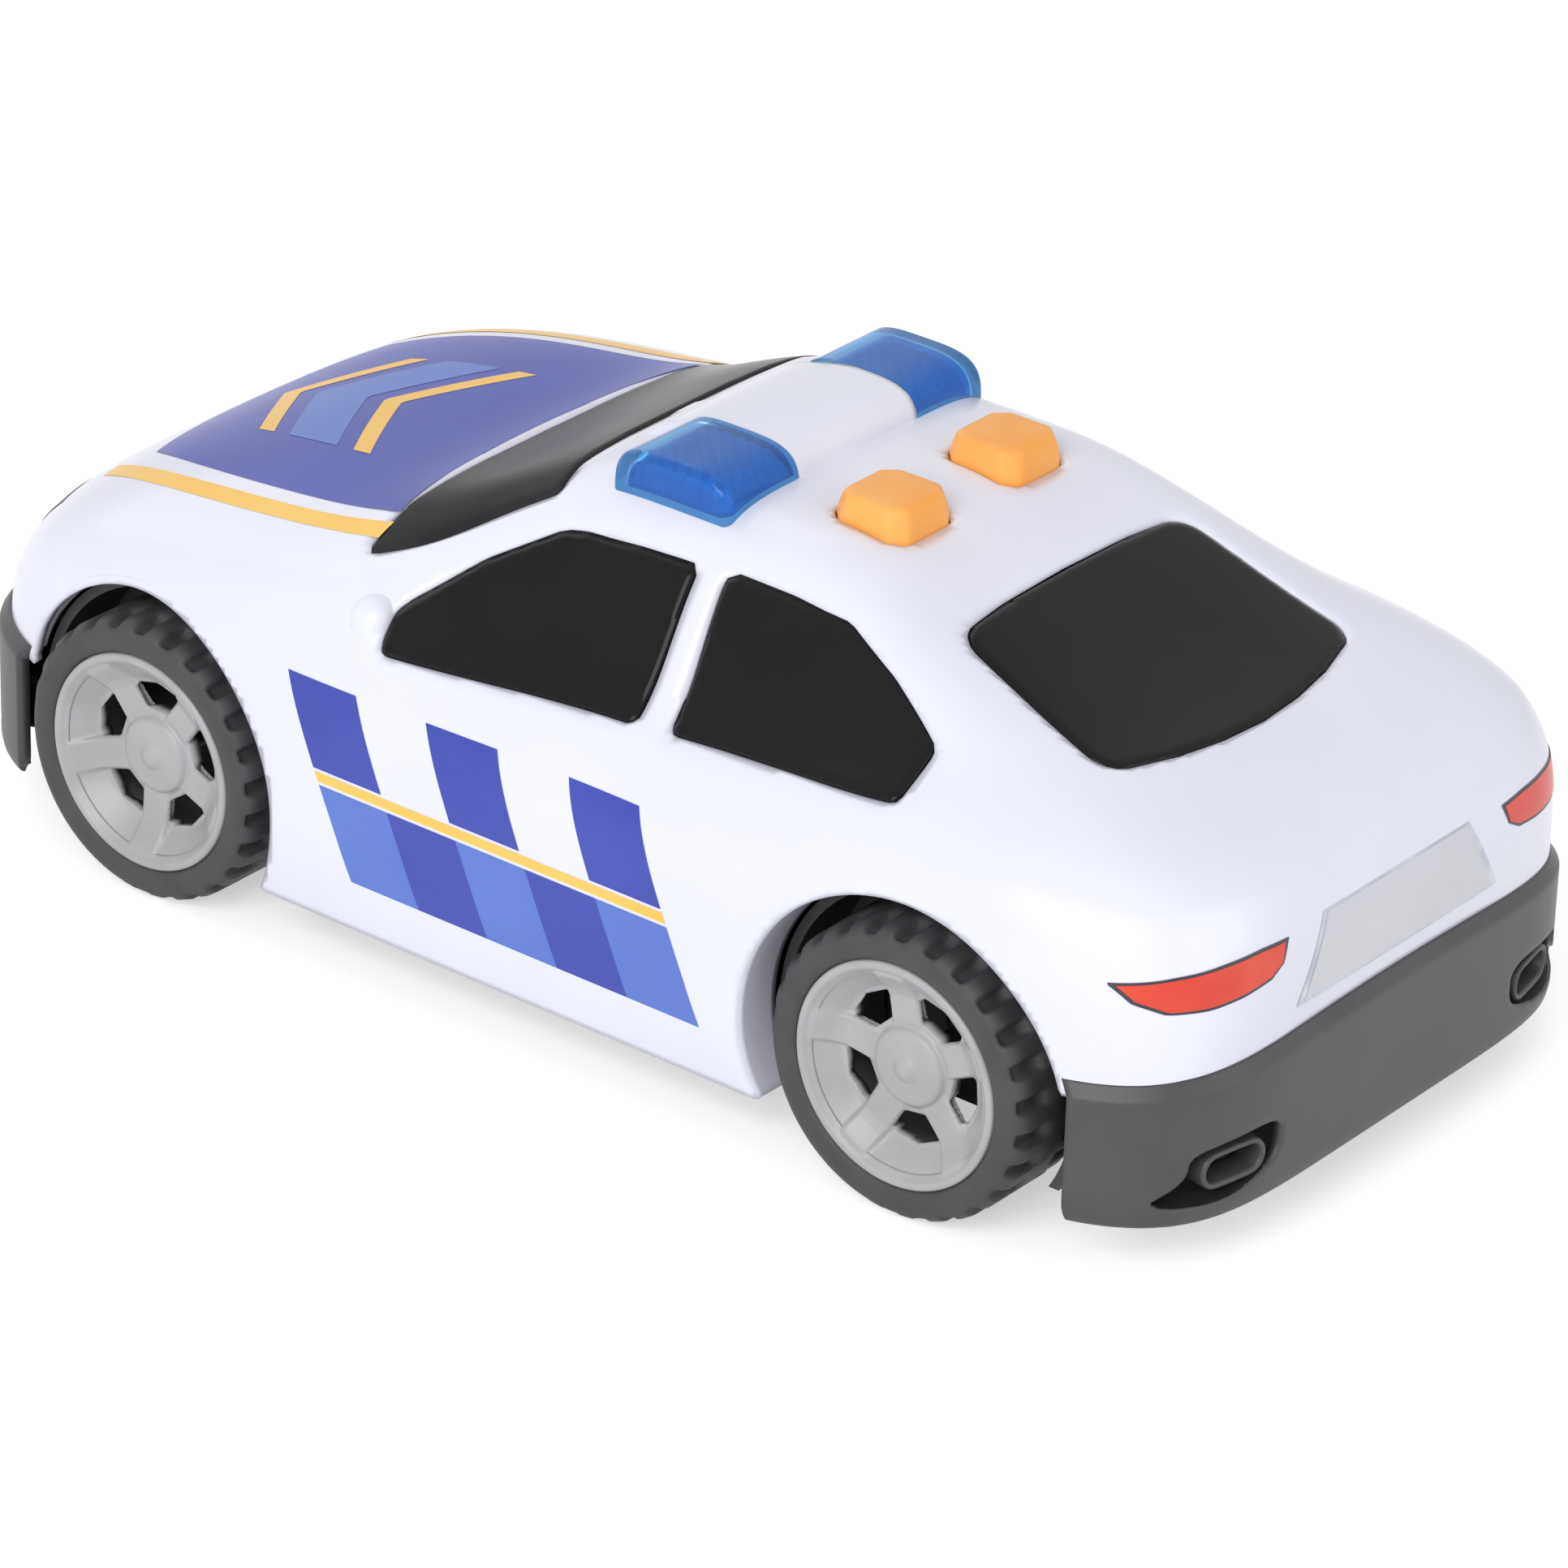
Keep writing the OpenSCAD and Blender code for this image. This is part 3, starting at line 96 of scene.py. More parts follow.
# level of a point: below 1 inside; a rounded lower body and a leaning cabin, joined smoothly
def skinLevel(x, y, z, d):
    q = form["rearSection"] + (form["frontSection"] - form["rearSection"]) * (x / form["length"] + 0.5)
    up = np.maximum(z - form["waist"], 0)
    across = np.abs(y) / np.maximum(planWidth(x, d), leastSpan)
    upward = up / np.maximum(crownHeight(x, d) - form["waist"], leastSpan)
    lower = (across ** q + upward ** q) ** (1 / q)
    high = np.maximum(z, form["belt"])
    lean = lambda s: np.sqrt(1 + s * s)
    half = form["cabinWidth"] / 2 - form["taper"] * (high - form["belt"]) - d * lean(form["taper"])
    front = form["screenRun"] - form["rake"] * (high - form["bonnet"]) - d * lean(form["rake"])
    back = form["backRun"] - form["backRake"] * (high - form["backFoot"]) - d * lean(form["backRake"])
    reach = np.maximum(np.where(x > form["cabinMid"], front, back), form["wall"])
    c = form["cabinPower"]
    plan = ((np.abs(x - form["cabinMid"]) / reach) ** c + (np.abs(y) / half) ** c) ** (1 / c)
    r = form["roofPower"]
    cabin = (plan ** r + (up / (form["roof"] - d - form["waist"])) ** r) ** (1 / r)
    b = form["blend"]
    return (np.maximum(lower, leastLevel) ** -b + np.maximum(cabin, leastLevel) ** -b) ** (-1 / b)


# the skin between an inside and an outside place, found by halving the span
def halve(near, far, isInside):
    for _ in range(search["halvings"]):
        middle = (near + far) / 2
        inside = isInside(middle)
        near, far = np.where(inside, middle, near), np.where(inside, far, middle)
    return middle


# skin point of station x seen from the waist line under angle a (degrees)
def skinAtAngle(x, a, d):
    c, s = np.cos(np.radians(a)), np.sin(np.radians(a))
    r = halve(0, search["around"], lambda r: skinLevel(x, r * c, form["waist"] + r * s, d) < 1)
    return np.stack([x + 0 * r, r * c, form["waist"] + r * s], -1)


# height of the skin over a point of the plan
def skinOver(x, y, d):
    z = halve(form["waist"], search["above"], lambda z: skinLevel(x, y, z, d) < 1)
    return np.stack([x + 0 * z, y + 0 * z, z], -1)


# half width of the skin at station x and height z; the sill is tucked in below the waist
def skinBeside(x, z, d, side):
    y = halve(0, search["beside"], lambda y: skinLevel(x, y, np.maximum(z, form["waist"]), d) < 1)
    tuck = np.maximum(form["waist"] - z, 0) / (form["waist"] - form["sill"])
    return np.stack([x + 0 * y, side * (y - form["tuck"] * tuck ** 2), z + 0 * y], -1)


# front or rear face of the body at (y, z): how far along x the skin lies
def skinBehind(y, z, d, end):
    x = halve(search["endFrom"], form["length"] / 2 - d, lambda x: skinLevel(end * x, y, z, d) < 1)
    return np.stack([end * x, y + 0 * x, z + 0 * x], -1)


def newPiece(name, verts, faces, body, material, slot):
    mesh = bpy.data.meshes.new(name)
    places = (np.asarray(verts) * mm).tolist()
    mesh.from_pydata(places, [], faces if isinstance(faces, list) else faces.tolist())
    mesh.polygons.foreach_set("use_smooth", np.full(len(mesh.polygons), True))
    mesh.update()
    obj = bpy.data.objects.new(name, mesh)
    bpy.context.scene.collection.objects.link(obj)
    obj.data.materials.append(material)
    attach(obj, body)
    return obj


# quads between the rows and columns of a grid, with wrap-around where it closes
def gridFaces(n, m, wrapN=False, wrapM=False, flip=False):
    i, j = np.meshgrid(np.arange(n if wrapN else n - 1), np.arange(m if wrapM else m - 1), indexing="ij")
    i2, j2 = (i + 1) % n, (j + 1) % m
    quads = np.stack([i * m + j, i2 * m + j, i2 * m + j2, i * m + j2], -1).reshape(-1, 4)
    return quads[:, ::-1] if flip else quads


# several grids (n, m, 3) as one mesh; each entry is (grid, wrapN, wrapM, flip)
def joinGrids(grids):
    verts, faces, first = [], [], 0
    for g, wrapN, wrapM, flip in grids:
        verts.append(g.reshape(-1, 3))
        faces.append(gridFaces(g.shape[0], g.shape[1], wrapN, wrapM, flip) + first)
        first += g.shape[0] * g.shape[1]
    return np.concatenate(verts), np.concatenate(faces)


# one open grid as a mesh
def sheet(g, flip):
    return joinGrids([(g, False, False, flip)])


# one grid whose rows are closed rings
def ringed(g, flip):
    return joinGrids([(g, False, True, flip)])


def mirrorGrid(g):
    return g * np.array([1, -1, 1])


# outline with each corner drawn in along its bisector by r
def insetOutline(points, r):
    p = np.asarray(points, float)
    a, b = p - np.roll(p, 1, 0), np.roll(p, -1, 0) - p
    a, b = a / np.linalg.norm(a, axis=1)[:, None], b / np.linalg.norm(b, axis=1)[:, None]
    turn = np.sign(np.sum(p[:, 0] * np.roll(p[:, 1], -1) - p[:, 1] * np.roll(p[:, 0], -1)))
    na, nb = turn * np.stack([-a[:, 1], a[:, 0]], 1), turn * np.stack([-b[:, 1], b[:, 0]], 1)
    n = na + nb
    return p + r * 2 * n / np.sum(n * n, 1)[:, None]


# outline with its corners cut again and again, each cut at a share of the sides
def soften(points, times, cut=0.2):
    p = np.asarray(points, float)
    for _ in range(times):
        q = np.roll(p, -1, 0)
        p = np.stack([(1 - cut) * p + cut * q, cut * p + (1 - cut) * q], 1).reshape(-1, 2)
    return p


# signed distance from an outline with rounded corners, positive outside
def outlineDistance(px, py, points, corner):
    p = insetOutline(points, corner)
    best, inside = np.full(px.shape, np.inf), np.zeros(px.shape, bool)
    for (ax, ay), (bx, by) in zip(p, np.roll(p, -1, 0)):
        ex, ey = bx - ax, by - ay
        t = np.clip(((px - ax) * ex + (py - ay) * ey) / (ex * ex + ey * ey), 0, 1)
        best = np.minimum(best, np.hypot(px - ax - t * ex, py - ay - t * ey))
        crosses = ((ay > py) != (by > py)) & (px < ex * (py - ay) / (ey + 1e-12) + ax)
        inside = inside ^ crosses
    return np.where(inside, -best, best) - corner


# how cuts are found, in grid steps: probe for the slope, longest stride, farthest slide
cutting = dict(probe=0.05, stride=0.7, slide=0.8, rounds=7, onLine=1e-9)


# grid surface cut along the line where keep() is 0: the nearer end of each crossed edge is slid
# onto the line in the grid's own parameters, cells on the wrong side are left out, corner cells halved
def cutSurface(surface, u, v, keep, flip=True):
    gridU, gridV = np.meshgrid(np.asarray(u, float), np.asarray(v, float), indexing="ij")
    level = keep(surface(gridU, gridV))
    move = np.zeros(level.shape, bool)
    for axis in (0, 1):
        a = [slice(None)] * 2
        b = [slice(None)] * 2
        a[axis], b[axis] = slice(None, -1), slice(1, None)
        a, b = tuple(a), tuple(b)
        crossed = level[a] * level[b] < 0
        first = crossed & (np.abs(level[a]) <= np.abs(level[b]))
        move[a] |= first
        move[b] |= crossed & ~first
    stepU, stepV = np.gradient(gridU, axis=0)[move], np.gradient(gridV, axis=1)[move]
    startU, startV = gridU[move], gridV[move]
    su, sv = startU, startV
    probe, stride, slide, onLine = (cutting[k] for k in ("probe", "stride", "slide", "onLine"))
    for _ in range(cutting["rounds"]):
        f = keep(surface(su, sv))
        fu = (keep(surface(su + probe * stepU, sv)) - f) / probe
        fv = (keep(surface(su, sv + probe * stepV)) - f) / probe
        slope = np.maximum(fu * fu + fv * fv, onLine)
        su = su - np.clip(f * fu / slope, -stride, stride) * stepU
        sv = sv - np.clip(f * fv / slope, -stride, stride) * stepV
        su = np.clip(su, startU - slide * np.abs(stepU), startU + slide * np.abs(stepU))
        sv = np.clip(sv, startV - slide * np.abs(stepV), startV + slide * np.abs(stepV))
    gridU[move], gridV[move] = su, sv
    level = np.where(move, 0, level).ravel()
    quads = gridFaces(*gridU.shape, flip=flip)
    sign = np.where(np.abs(level[quads]) < onLine, 0, np.sign(level[quads]))
    whole = quads[(sign >= 0).all(1) & (sign > 0).any(1)]
    part = quads[((sign < 0).sum(1) == 1) & (sign > 0).any(1)]
    drop = np.argmin(np.where(np.abs(level[part]) < onLine, 0, level[part]), 1)
    corners = np.stack([part[np.arange(len(part)), (drop + k) % 4] for k in (1, 2, 3)], 1)
    used, again = np.unique(np.concatenate([whole.ravel(), corners.ravel()]), return_inverse=True)
    faces = again[:whole.size].reshape(-1, 4).tolist() + again[whole.size:].reshape(-1, 3).tolist()
    return surface(gridU, gridV).reshape(-1, 3)[used], faces


# wall behind a cut skin
def giveWall(obj, thickness):
    wall = obj.modifiers.new("Solidify", "SOLIDIFY")
    wall.thickness = thickness * mm
    wall.offset = -1
    wall.use_even_offset = False


def setInputs(node, values):
    for name, value in values.items():
        node.inputs[name].default_value = value


def addNode(tree, kind, values):
    node = tree.nodes.new(kind)
    setInputs(node, values)
    return node


# materials: two close tones in soft patches, fine moulding grain and a little change in gloss
def plastic(name, tone, other, rough, grain=0.35, bump=0.05, patch=9, coat=0.0, spread=0.06, ior=1.5):
    mat = bpy.data.materials.new(name)
    mat.use_nodes = True
    tree = mat.node_tree
    shader = tree.nodes["Principled BSDF"]
    setInputs(shader, {"IOR": ior, "Coat Weight": coat, "Coat Roughness": 0.08})
    place = addNode(tree, "ShaderNodeTexCoord", {})
    patches = addNode(tree, "ShaderNodeTexNoise", {"Scale": 1000 / patch, "Detail": 3})
    ramp = addNode(tree, "ShaderNodeValToRGB", {})
    for stop, colour, at in zip(ramp.color_ramp.elements, (tone, other), (0.35, 0.68)):
        stop.color = (*colour, 1)
        stop.position = at
    fine = addNode(tree, "ShaderNodeTexNoise", {"Scale": 1000 / grain, "Detail": 2})
    dents = addNode(tree, "ShaderNodeBump", {"Strength": bump, "Distance": 0.0002})
    gloss = addNode(tree, "ShaderNodeMapRange", {"To Min": rough - spread, "To Max": rough + spread})
    links = [(place, "Object", patches, "Vector"), (patches, "Fac", ramp, "Fac"),
             (ramp, "Color", shader, "Base Color"), (place, "Object", fine, "Vector"),
             (fine, "Fac", dents, "Height"), (dents, "Normal", shader, "Normal"),
             (patches, "Fac", gloss, "Value"), (gloss, "Result", shader, "Roughness")]
    for source, output, target, entry in links:
        tree.links.new(source.outputs[output], target.inputs[entry])
    return mat


def metal(name, tone, other, rough):
    mat = plastic(name, tone, other, rough, grain=0.2, bump=0.08, patch=3)
    mat.node_tree.nodes["Principled BSDF"].inputs["Metallic"].default_value = 1
    return mat


def clear(name, tone, other, rough, through):
    mat = plastic(name, tone, other, rough, grain=0.6, bump=0.02, patch=7, spread=0.02, ior=1.32)
    mat.node_tree.nodes["Principled BSDF"].inputs["Transmission Weight"].default_value = through
    return mat


# window panes: very smooth, with a long soft ripple
def glossy(name, tone, other, rough, ior):
    return plastic(name, tone, other, rough, grain=1.2, bump=0.02, patch=25, ior=ior)


# grey mouldings and rubber with a fine eroded grain
def eroded(name, tone, other, rough, bump=0.14, patch=14):
    return plastic(name, tone, other, rough, grain=0.3, bump=bump, patch=patch)


# printed film
def film(name, tone, other, rough=0.3, patch=18, ior=1.5):
    return plastic(name, tone, other, rough, grain=0.5, bump=0.02, patch=patch, ior=ior)


white = plastic("whiteShell", (0.80, 0.81, 0.93), (0.84, 0.85, 0.95), 0.3, grain=0.8, bump=0.03, patch=40,
                coat=0.25)
blackGloss = glossy("windowBlack", (0.005, 0.005, 0.006), (0.008, 0.008, 0.009), 0.16, 1.26)
greyGloss = glossy("screenGrey", (0.03, 0.03, 0.033), (0.045, 0.045, 0.048), 0.2, 1.09)
orange = plastic("buttonOrange", (1.0, 0.40, 0.07), (1.0, 0.46, 0.11), 0.42, grain=0.5, bump=0.06, patch=8)
bumperGrey = eroded("bumperGrey", (0.054, 0.050, 0.054), (0.068, 0.064, 0.068), 0.45)
# pockets and intake in a darker grey than the bumper: painted shade in the recesses
pocketPaintedShade = eroded("pocketPaintedShade", (0.014, 0.013, 0.014), (0.02, 0.019, 0.02), 0.5)
baseGrey = eroded("baseGrey", (0.035, 0.034, 0.037), (0.05, 0.048, 0.052), 0.5, bump=0.2, patch=12)
domeGrey = eroded("domeGrey", (0.2, 0.2, 0.21), (0.26, 0.26, 0.27), 0.7, bump=0.15, patch=4)
rimGrey = plastic("rimGrey", (0.40, 0.395, 0.405), (0.455, 0.45, 0.465), 0.36, grain=0.4, bump=0.06, patch=10)
tyreGrey = plastic("tyreGrey", (0.044, 0.042, 0.046), (0.060, 0.057, 0.062), 0.62, grain=0.25, bump=0.25,
                   patch=6)
decalBlue = film("decalBlue", (0.055, 0.075, 0.42), (0.068, 0.09, 0.46), ior=1.33)
decalPale = film("decalPale", (0.115, 0.20, 0.62), (0.13, 0.22, 0.66), ior=1.33)
decalYellow = film("decalYellow", (1.0, 0.58, 0.10), (1.0, 0.63, 0.15), ior=1.33)
decalWhite = film("decalWhite", (0.64, 0.64, 0.70), (0.68, 0.68, 0.74), rough=0.28)
decalDark = film("decalDark", (0.03, 0.03, 0.05), (0.05, 0.05, 0.07), rough=0.35, patch=10)
decalRed = film("decalRed", (0.72, 0.048, 0.023), (0.80, 0.076, 0.034), patch=10)
decalLamp = film("decalLamp", (0.50, 0.55, 0.63), (0.72, 0.76, 0.82), rough=0.25, patch=6)
lensBlue = clear("lensBlue", (0.080, 0.324, 0.675), (0.102, 0.36, 0.70), 0.06, 0.94)
# pale, patchy blue of the prisms: painted highlight for the light caught inside the lens
prismPaintedHighlight = plastic("prismPaintedHighlight", (0.62, 0.84, 1.0), (0.9, 0.97, 1.0), 0.3, grain=0.6, bump=0.02, patch=5)
diodeClear = clear("diodeClear", (0.75, 0.8, 0.9), (0.85, 0.88, 0.95), 0.08, 0.6)
steel = metal("screwSteel", (0.42, 0.43, 0.45), (0.52, 0.53, 0.55), 0.34)
nickel = metal("contactNickel", (0.6, 0.6, 0.6), (0.7, 0.7, 0.69), 0.22)
speakerDark = metal("speakerDark", (0.06, 0.06, 0.065), (0.1, 0.1, 0.105), 0.45)
boardGreen = plastic("boardGreen", (0.012, 0.09, 0.03), (0.02, 0.13, 0.045), 0.35, grain=0.6, patch=5)
cellGreen = plastic("cellGreen", (0.15, 0.22, 0.07), (0.2, 0.27, 0.1), 0.3)
print("materials ready", len(bpy.data.materials))

# window outlines: shares of the row's length and height, or of length and half width from above
sideRow = dict(front=28.73, base=56, length=96.4, height=23.2, corner=1.4)
frontPane = [(0.012, 0.01), (0, 0.23), (0.015, 0.31), (0.1, 0.6), (0.22, 0.9), (0.26, 0.93), (0.37, 0.96),
             (0.48, 0.975), (0.485, 0.08)]
rearPane = [(0.546, 0.1), (0.53, 0.975), (0.55, 1), (0.66, 0.995), (0.77, 0.96), (0.88, 0.77), (1, 0.515),
            (0.993, 0.26)]
screenShape = dict(top=12.05, length=30.7, width=92, corner=1.4,
                   half=[(0.115, 0), (0.105, 0.3), (0.07, 0.55), (0, 0.72), (0.9, 1), (0.965, 0.68),
                         (0.99, 0.35), (1, 0)])
backShape = dict(top=-57.5, length=-37, width=61.4, corner=5,
                 half=[(0, 0), (0.008, 0.5), (0.035, 0.9), (0.85, 1), (0.945, 0.6), (0.985, 0.3), (1, 0)])
buttonSpot = dict(x=-35.6, y=13.6, length=13.6, width=14.5, cut=2.4, gap=0.2, rounds=3, roundCut=0.08)
openingZone = dict(side=31, top=58, away=50)   # side openings lie further out, top ones higher than this


def rowOutline(shares):
    front, base, length, height = (sideRow[k] for k in ("front", "base", "length", "height"))
    return [(front - s * length, base + t * height) for s, t in shares]


def topOutline(shape):
    half = shape["half"] + [(s, -w) for s, w in shape["half"][-2:0:-1]]
    return [(shape["top"] + s * shape["length"], w * shape["width"] / 2) for s, w in half]


# eight-sided outline of a button, its corners a little softened
def buttonOutline(grow):
    l, w, c = buttonSpot["length"] / 2 + grow, buttonSpot["width"] / 2 + grow, buttonSpot["cut"]
    corners = [(l, w - c), (l - c, w), (c - l, w), (-l, w - c),
               (-l, c - w), (c - l, -w), (l - c, -w), (l, c - w)]
    placed = [(buttonSpot["x"] + a, buttonSpot["y"] + b) for a, b in corners]
    return soften(placed, buttonSpot["rounds"], buttonSpot["roundCut"])


sideOutlines = [rowOutline(frontPane), rowOutline(rearPane)]
screenOutline, backOutline = topOutline(screenShape), topOutline(backShape)


def sideDistance(spots, which):
    d = outlineDistance(spots[..., 0], spots[..., 2], sideOutlines[which], sideRow["corner"])
    return np.where(np.abs(spots[..., 1]) > openingZone["side"], d, openingZone["away"])


def topDistance(spots, outline, corner):
    d = outlineDistance(spots[..., 0], spots[..., 1], outline, corner)
    return np.where(spots[..., 2] > openingZone["top"], d, openingZone["away"])


# body skin: stations along the car, closer at its ends, and flat end faces shrinking to a point
skinGrid = dict(stations=230, arc=176, low=11, cap=10, capMid=30, endShare=0.9985, inset=0.07, endCut=29.2,
                endFrom=96.4, roll=0.45, rollRun=0.9, leastHalf=20, wall=1.6)


# the edge of every opening rolls inwards over a short run
def bodySurface(u, v):
    near = np.clip(1 - bodyKeep(skinRow(u, v, skinGrid["inset"])) / skinGrid["rollRun"], 0, 1)
    return skinRow(u, v, skinGrid["inset"] + skinGrid["roll"] * near ** 2)


# one point per grid step: station u, angle step v, drawn in by d
def skinRow(u, v, d):
    n, low, arc = skinGrid["stations"], skinGrid["low"], skinGrid["arc"]
    k = np.clip(u, 0, n)
    x = (form["length"] / 2 - d) * skinGrid["endShare"] * np.sin(np.pi * (k / n - 0.5))
    spots = skinAtAngle(x, np.clip(v - low, 0, arc) / arc * 180, d)
    below = np.where(v < low, 1 - v / low, np.where(v > low + arc, (v - low - arc) / low, 0))
    spots[..., 2] -= below * (form["waist"] - form["sill"])
    spots[..., 1] *= 1 - form["tuck"] * below ** 2 / np.maximum(np.abs(spots[..., 1]), skinGrid["leastHalf"])
    shrink = np.clip(np.maximum(-u, u - n) / skinGrid["cap"], 0, 1)
    spots[..., 1] *= 1 - shrink
    spots[..., 2] += (skinGrid["capMid"] - spots[..., 2]) * shrink
    return spots


# distance from the nearest opening: arches, bumper ends, windows and button wells
def bodyKeep(spots):
    x, z = spots[..., 0], spots[..., 2]
    arch = np.hypot(np.abs(x) - wheelSpot["x"], z - wheelSpot["z"]) - wheelSpot["archR"]
    ends = np.maximum(z - skinGrid["endCut"], skinGrid["endFrom"] - np.abs(x))
    well = buttonOutline(buttonSpot["gap"])
    buttons = [topDistance(half, well, 0) for half in (spots, mirrorGrid(spots))]
    return np.minimum.reduce([arch, ends, sideDistance(spots, 0), sideDistance(spots, 1),
                              topDistance(spots, screenOutline, screenShape["corner"]),
                              topDistance(spots, backOutline, backShape["corner"]), *buttons])


stationSteps = np.arange(-skinGrid["cap"], skinGrid["stations"] + skinGrid["cap"] + 1)
angleSteps = np.arange(skinGrid["arc"] + 2 * skinGrid["low"] + 1)
bodyVerts, bodyFaces = cutSurface(bodySurface, stationSteps, angleSteps, bodyKeep)
bodySkin = newPiece("bodySkin", bodyVerts, bodyFaces, "car", white, "white_shell")
giveWall(bodySkin, skinGrid["wall"])
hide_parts("body_shell")
print("body skin", len(bodyFaces), "faces")


# window panes: the skin a little inside, with the edge rolled inwards over a short border
paneEdge = dict(gap=0.12, border=1.3, roll=0.7, steep=0.98, depth=0.1, step=0.75, perDegree=1.25, wall=1.2)
paneAngles = dict(left=(25, 67), right=(113, 155), screen=(33, 147), back=(45, 135))
paneRuns = dict(front=(-19.47, 30.23), rear=(-69.598, -20.434), screen=(10.5, 44.5), back=(-96, -56))


def makePane(name, node, distance, run, angles, material, slot):
    gap, border, depth = paneEdge["gap"], paneEdge["border"], paneEdge["depth"]

    def surface(u, v):
        t = np.clip(1 + (distance(skinAtAngle(u, v, depth)) + gap) / border, 0, 1)
        return skinAtAngle(u, v, depth + paneEdge["roll"] * (1 - np.sqrt(1 - t ** 2 * paneEdge["steep"])))

    u = np.linspace(*run, int((run[1] - run[0]) / paneEdge["step"]) + 1)
    v = np.linspace(*angles, int((angles[1] - angles[0]) * paneEdge["perDegree"] / paneEdge["step"]) + 1)
    verts, faces = cutSurface(surface, u, v, lambda spots: -distance(spots) - gap)
    pane = newPiece(name, verts, faces, "car", material, slot)
    giveWall(pane, paneEdge["wall"])
    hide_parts(node)


for which, place in enumerate(("front", "rear")):
    for side in ("left", "right"):
        makePane(f"{place}Window_{side}", f"{place}_window_{side}", lambda spots: sideDistance(spots, which),
                 paneRuns[place], paneAngles[side], blackGloss, "window_plastic")
makePane("windscreenPane", "windscreen",
         lambda spots: topDistance(spots, screenOutline, screenShape["corner"]),
         paneRuns["screen"], paneAngles["screen"], greyGloss, "screen_plastic")
makePane("rearWindowPane", "rear_window",
         lambda spots: topDistance(spots, backOutline, backShape["corner"]),
         paneRuns["back"], paneAngles["back"], blackGloss, "window_plastic")
print("windows done")


# light bar: white bridge with crowned top, and on each side a lens block with upright walls and barrel top
bar = dict(x=-7, seat=81.8, rise=9, back=11.6, front=18.5, backPower=3.7, frontPower=1.65, crown=250,
           bridge=14.2, bridgeInset=0.05, foot=79, lensLow=14.35, lensHigh=31.1, lensFront=10.8, lensRise=8.5,
           lensPower=3.7, edge=1.3, wall=1.5)
barSteps = dict(run=81, across=31, wall=8, lens=61, prisms=181, edge=8, end=16)
prisms = dict(gap=0.3, depth=2.1, level=86.2, fade=0.8, deep=0.9, pitch=2.6, footGap=1,
              ribBand=3, ribFade=0.6, ribDeep=0.6, ribPitch=1.9)


# section curve at y, drawn in by d: x = middle + t run, z = seat + rise (1 - |t|^p)^(1/p)
def bridgeSurface(t, y, d):
    crowned = bar["crown"] - np.sqrt(bar["crown"] ** 2 - y ** 2)
    run = np.where(t < 0, bar["back"], bar["front"]) - d
    p = np.where(t < 0, bar["backPower"], bar["frontPower"])
    z = bar["seat"] + (bar["rise"] - crowned - d) * roundOff(t, p)
    return np.stack(np.broadcast_arrays(bar["x"] + t * run, y, z), -1)


def lensSurface(t, y, d):
    run = np.where(t < 0, bar["back"], bar["lensFront"]) - d
    z = bar["seat"] + (bar["lensRise"] - d) * roundOff(t, bar["lensPower"])
    return np.stack(np.broadcast_arrays(bar["x"] + t * run, y, z), -1)


# both ends of each row go down to the foot
def addFoot(g):
    foot = g[:, [0, -1]].copy()
    foot[..., 2] = bar["foot"]
    return np.concatenate([foot[:, :1], g, foot[:, 1:]], 1)


# copies of one row on the way up from the foot, each at its share of the height
def wallRows(row, shares):
    rows = np.repeat(row[None], len(shares), 0)
    rows[..., 2] = bar["foot"] + (rows[..., 2] - bar["foot"]) * np.asarray(shares)[:, None]
    return rows


# shares along a section, closer at its ends
def sectionSteps(count):
    return np.sin(np.pi * np.linspace(-0.5, 0.5, count))


# lens rows: the outer edge rounded, the end face closed down to the foot
def lensGrid(low, high, d, steps):
    edge = bar["edge"]
    roundY = high - edge + edge * np.sin(np.linspace(0.15, 1.57, barSteps["edge"]))
    y = np.concatenate([np.linspace(low, high - edge, steps // 3), roundY])
    roll = np.where(y > high - edge, edge - np.sqrt(np.maximum(edge ** 2 - (y - high + edge) ** 2, 0)), 0)
    g = addFoot(lensSurface(sectionSteps(steps)[None, :], y[:, None], (d + roll)[:, None]))
    return np.concatenate([g, wallRows(g[-1], 1 - np.linspace(0.06, 1, barSteps["end"]))])


# triangle wave between 0 and 1
def zigzag(v):
    return np.abs((v % 1) * 2 - 1)


